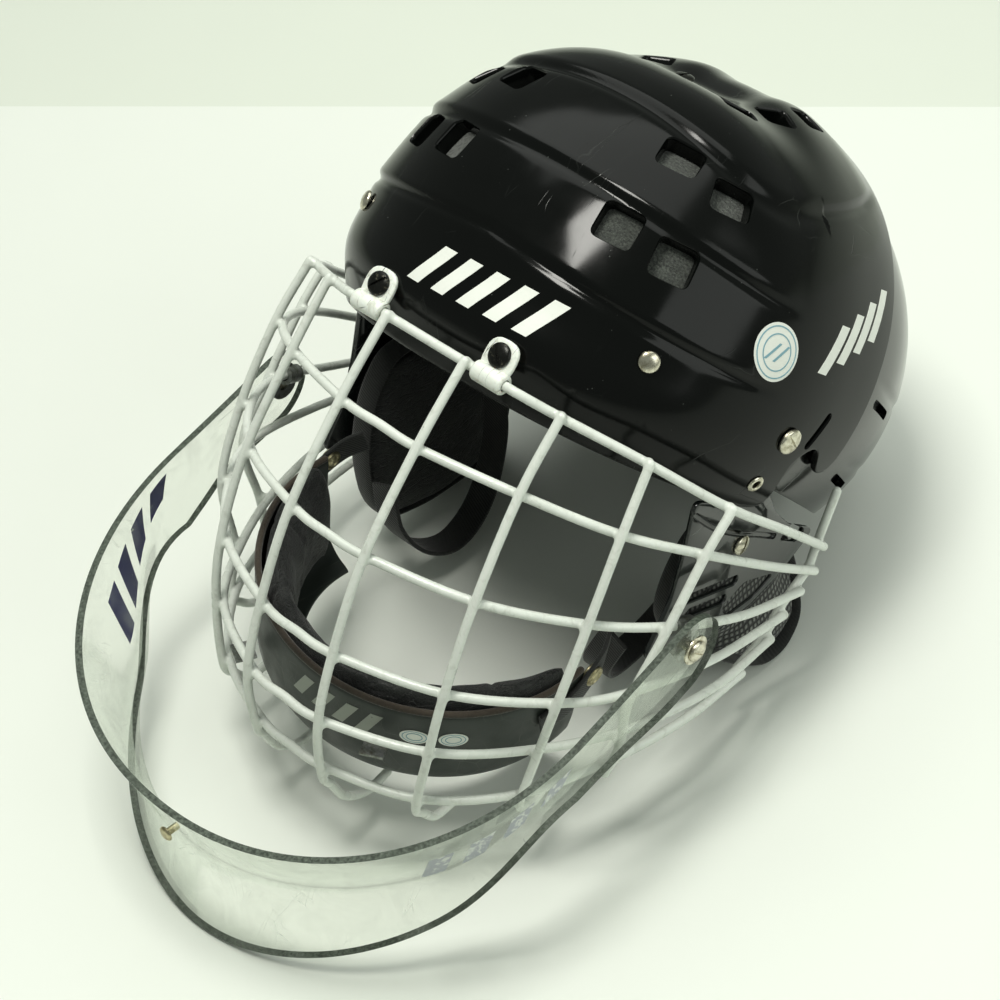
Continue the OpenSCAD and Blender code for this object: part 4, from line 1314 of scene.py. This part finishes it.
def cup_oval(turn, z, wide, high, hole, lift):
    """An oval sticker or ring on the cup."""
    around = np.radians(np.arange(0, 360, 10))
    sizes = (1.0, 0.85, 0.7) if not hole else (hole, hole + 0.06)

    def oval(up):
        return [[on_cup(turn + k * wide * math.cos(a), z + k * high * math.sin(a), up) for a in around]
                for k in sizes]

    return loft(oval(lift) + oval(0.05)[::-1], loop=bool(hole))


def make_cup_prints():
    bars = [cup_bar((-5 + 8 * i, -1 + 8 * i), (-140, -126), 0.35) for i in range(4)]
    piece("cup_print", merged(bars), TILTED_CUP, "cage", GREY_PRINT)
    spots = (38, 50)
    whole_spots = [cup_oval(t, -134, 4.6, 4.4, 0, 0.22) for t in spots]
    piece("cup_stickers", merged(whole_spots), TILTED_CUP, "cage", WHITE_PRINT)
    lines = [cup_oval(t, -134, 4.6, 4.4, k, 0.3) for t in spots for k in (0.5, 0.78)]
    piece("cup_sticker_rings", merged(lines), TILTED_CUP, "cage", PALE_BLUE_PRINT)


def make_chin_strap(name, s):
    """A short strap from the end of the cup, with a press stud."""
    from_cup = [cup_at(78, -1.4, -134), cup_at(88, -1.6, -131)]
    route = smooth(from_cup + [(77, 9, -126), (75, 19, -121), (71, 27, -118)], 8)
    place = on_side(TILTED_CUP, s)
    piece("chin_strap_" + name, strap(route, (0, 0, 1), 6, 0.9, 0.7), place, "cage", WEBBING)
    stud = [(4.6, 0), (4.7, 0.5), (4.2, 1.1), (3.4, 1.2), (3.1, 0.8), (2.4, 0.7), (1.6, 1.3), (0.6, 1.5)]
    on_strap = Matrix.Translation((76.6, 12, -124)) @ Matrix.Rotation(math.pi / 2, 4, "Y")
    for turn, side_name in ((0, "outer"), (math.pi, "inner")):
        spot = place @ on_strap @ Matrix.Rotation(turn, 4, "X") @ Matrix.Translation((0, 0, 0.9))
        piece("chin_snap_" + side_name + "_" + name, lathe(stud), spot, "cage", BRASS)


make_chin_cup()
make_chin_pad()
make_cup_prints()
for side_name, side in SIDES.items():
    make_chin_strap(side_name, side)

# ---- throat guard ----

GUARD_HALF_W, GUARD_T, GUARD_MID_Y = 119, 3, -38


def guard_line(a, half, front, square):
    return half * spow(math.sin(a), 2 / square), GUARD_MID_Y - front * spow(max(math.cos(a), 0), 2 / square)


def guard_section(a):
    """Top edge, bend and bottom edge of the guard's outside at an angle round from its middle."""
    top = guard_line(a, GUARD_HALF_W, 115, 2.1)
    bend = guard_line(a, 106, 99, 1.85)
    low = guard_line(a, 109, 105, 1.9)
    inward = np.array((-GUARD_T * math.sin(a), GUARD_T * math.cos(a), 0.3))
    line = np.array([(*top, -110 + 0.3 * (top[1] + 60)), (*bend, -176 + 0.28 * (bend[1] + 120)),
                     (*low, -204.5 + 0.6 * (low[1] + 120))])
    arm_low = np.array((114.5 * np.sign(a), line[0, 1], -141))
    into_arm = ease(abs(math.degrees(a)), 58, 92)
    line[1] += into_arm * ((line[0] + arm_low) / 2 - line[1])
    line[2] += into_arm * (arm_low - line[2])
    return line, inward


# Along the arm: how far back, its top and bottom edges, and the bottom edge's place across
ARM_SECTIONS = [(-26, -99.8, -135.2, 116), (-15, -96.5, -130, 117.6), (-3, -92.8, -126.6, 118.6),
                (9, -89, -124, 119), (19, -86, -121, 119)]
TAB_FROM, TAB_LONG, TAB_HALF_HIGH = 19.0, 18.0, 17.5


def guard_rings():
    """Outside lines and inward steps of the whole guard, from the wearer's right tab to the left one."""
    arm = [((GUARD_HALF_W, y, top), ((GUARD_HALF_W + low_x) / 2, y, (top + low) / 2), (low_x, y, low))
           for y, top, low, low_x in ARM_SECTIONS]
    for a in np.radians(np.arange(10, 90, 8)):
        y = TAB_FROM + TAB_LONG * math.sin(a)
        mid, half = -103.5 + (y - TAB_FROM) * 0.2, TAB_HALF_HIGH * math.cos(a)
        arm.append(tuple((GUARD_HALF_W, y, z) for z in (mid + half, mid, mid - half)))
    arm = smooth(np.array(arm).reshape(len(arm), -1), 3).reshape(-1, 3, 3)
    step = np.array((-GUARD_T, 0, 0))
    band = [guard_section(a) for a in np.radians(np.arange(-90, 90.1, 2))]
    right = [(flip(line), flip(step)) for line in arm[::-1]]
    return right + band + [(line, step) for line in arm]


def guard_outside(line):
    return resample(rounded(line, 9, steps=7), 22)


def make_throat_guard():
    rings = []
    for line, inward in guard_rings():
        out = guard_outside(line)
        rings.append(np.vstack([out, (out + inward)[::-1]]))
    guard = new_object("throat_guard_sheet", loft(rings), CAGE)
    finish_piece(guard, "guard", CLEAR, ["throat_guard"], 30)
    # The sheet's edge faces get a second material, whose dark tone is painted shade.
    guard.data.materials.append(CLEAR_EDGE_PAINTED_SHADE)
    per_ring = rings[0].shape[0]
    for face in guard.data.polygons[:]:
        spots = sorted(i % per_ring for i in face.vertices)
        top_edge = spots in ([0, 0, per_ring - 1, per_ring - 1],)
        low_edge = spots == [per_ring // 2 - 1] * 2 + [per_ring // 2] * 2
        face.material_index = 1 if top_edge or low_edge or len(spots) > 4 else 0


make_throat_guard()


def guard_patch(a_from, a_to, v_from, v_to, slant):
    """A thin printed patch on the outside of the guard's band; v runs from the top edge to the bend."""
    grid, back = [], []
    for v in np.linspace(v_from, v_to, 5):
        row = []
        for a in np.radians(np.linspace(a_from, a_to, 9) + slant * (v - v_from)):
            line, inward = guard_section(a)
            row.append(line[0] * (1 - v) + line[1] * v - unit(inward) * 0.12)
        grid.append(row)
        back.append([np.array(p) - 0.1 * unit(np.array((p[0], p[1] - GUARD_MID_Y, 0))) for p in row])
    return slab(grid, back)


def make_guard_prints():
    blue = [guard_patch(-88 + 8 * i, -83 + 8 * i, 0.36, 0.8, 5) for i in range(4)]
    piece("guard_print_blue", merged(blue), CAGE, "guard", BLUE_PRINT)
    grey = [guard_patch(56 + 8.5 * i, 61 + 8.5 * i, 0.36, 0.74, -5) for i in range(4)]
    piece("guard_print_grey", merged(grey), CAGE, "guard", SCRAPED_PRINT)


make_guard_prints()

# ---- prints and stickers on the shell ----


PRINT_THICK = 0.12


def dome_patch(at, u, v, lift=PRINT_THICK):
    """A thin patch over a grid of places; at(u, v) gives a point of the dome."""
    uu, vv = np.meshgrid(u, v, indexing="ij")
    p = at(uu, vv)
    n = outward(p)
    raised = relief(p)[..., None]
    return slab(p + n * (lift + raised), p + n * (lift - PRINT_THICK + raised))


def slanted(at, middle, size, slant):
    """A leaning bar of print: middle and size in the patch's own two directions."""
    u = np.linspace(-size[0] / 2, size[0] / 2, 7)
    v = np.linspace(-size[1] / 2, size[1] / 2, 5)
    return dome_patch(lambda a, b: at(middle[0] + a + slant * b, middle[1] + b), u, v)


def disc(middle, r_in, r_out, lift):
    """A round patch or ring on the wearer's left side of the dome."""
    a = np.radians(np.arange(0, 360, 7.5))
    rings = []
    for r in np.linspace(r_in, r_out, 4):
        p = beside(middle[0] + r * np.cos(a), middle[1] + r * np.sin(a))
        rings.append(p + outward(p) * (lift + relief(p))[:, None])
    under = [ring - outward(ring) * 0.1 for ring in rings[::-1]]
    return loft(rings + under, loop=r_in > 0.2)


def make_shell_prints():
    bars = [slanted(before, (-15 + 13 * i, -8 + 0.6 * i), (6.5, 17), 0.5) for i in range(5)]
    piece("brow_print", merged(bars), SHELL, "helmet", WHITE_PRINT)
    side = [slanted(beside, (-23 + 11 * i, 29 + 6 * i), (6, 20), 0.5) for i in range(4)]
    piece("side_print", merged(side), SHELL, "helmet", WHITE_PRINT)
    spot = (-56.8, 20.3)
    piece("side_sticker", disc(spot, 0.1, 11, PRINT_THICK), SHELL, "helmet", WHITE_PRINT)
    rings = [disc(spot, r, r + 0.5, 0.2) for r in (6.6, 9.4)]
    rings += [sticker_bar(spot, k) for k in (-2.2, 2.2)]
    piece("side_sticker_rings", merged(rings), SHELL, "helmet", PALE_BLUE_PRINT)


def sticker_bar(spot, shift):
    """A thin leaning bar on the round sticker."""
    u = np.linspace(-0.6, 0.6, 3)
    v = np.linspace(-3.6, 3.6, 6)
    return dome_patch(lambda a, b: beside(spot[0] + a + shift + 0.8 * b, spot[1] + b), u, v, 0.2)


make_shell_prints()

# ---- CAD nodes that stay get a dull steel ----

for part in ("adjust_nut_", "chin_clip_", "guard_clamp_"):
    for side_name in SIDES:
        node = frame["nodes"][part + side_name]
        node.data.materials.clear()
        node.data.materials.append(DULL_STEEL)

# ---- floor and light ----


def flat_look(name, tone, rough):
    k = Look(name, Roughness=rough)
    k.set("Base Color", k.mix(k.noise(0.05, 4), rgb(*tone), rgb(*[c * 0.985 for c in tone])))
    return k.material


# The floor's far part, past a straight edge, is a little darker
FLOOR_EDGE_AT, FLOOR_EDGE_TURN = (-0.2548, 0.2528), math.radians(36.1)


def make_stage():
    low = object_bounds()[0].z - 0.0002
    along = Vector((math.cos(FLOOR_EDGE_TURN), math.sin(FLOOR_EDGE_TURN), 0)) * 4
    back = Vector((-along.y, along.x, 0))
    edge = Vector((*FLOOR_EDGE_AT, low))
    points = [edge - along - back, edge + along - back, edge + along, edge - along, edge + along + back,
              edge - along + back]
    floor = new_object("floor", (points, [[0, 1, 2, 3], [3, 2, 4, 5]]))
    floor.data.materials.append(flat_look("floor_pale", (0.79, 0.82, 0.765), 0.6))
    floor.data.materials.append(flat_look("floor_far", (0.71, 0.75, 0.67), 0.6))
    floor.data.polygons[1].material_index = 1


def make_light(name, place, aim, size, power, tone):
    data = bpy.data.lights.new(name, "AREA")
    data.shape = "RECTANGLE"
    data.size, data.size_y = size
    data.energy = power
    data.color = tone
    light = bpy.data.objects.new(name, data)
    light.location = place
    light.rotation_euler = (Vector(aim) - Vector(place)).to_track_quat("-Z", "Y").to_euler()
    scene.collection.objects.link(light)


def make_world():
    world = bpy.data.worlds.new("studio")
    world.use_nodes = True
    back = world.node_tree.nodes["Background"]
    back.inputs["Color"].default_value = rgb(0.84, 0.90, 0.82)
    back.inputs["Strength"].default_value = 0.34
    scene.world = world


scene.view_settings.view_transform = "Standard"
scene.view_settings.gamma = 0.93
make_stage()
make_world()
make_light("key", (-0.06, -0.1, 1.5), (0, 0, 0.1), (0.36, 0.46), 14, (1.0, 0.99, 0.93))
make_light("overhead", (-0.5, 0.9, 1.9), (0, 0, 0.1), (2.2, 1.3), 16, (0.97, 1.0, 0.95))
make_light("side", (1.7, 0.5, 1.1), (0, 0, 0.1), (1.6, 1.4), 13, (0.96, 1.0, 0.95))
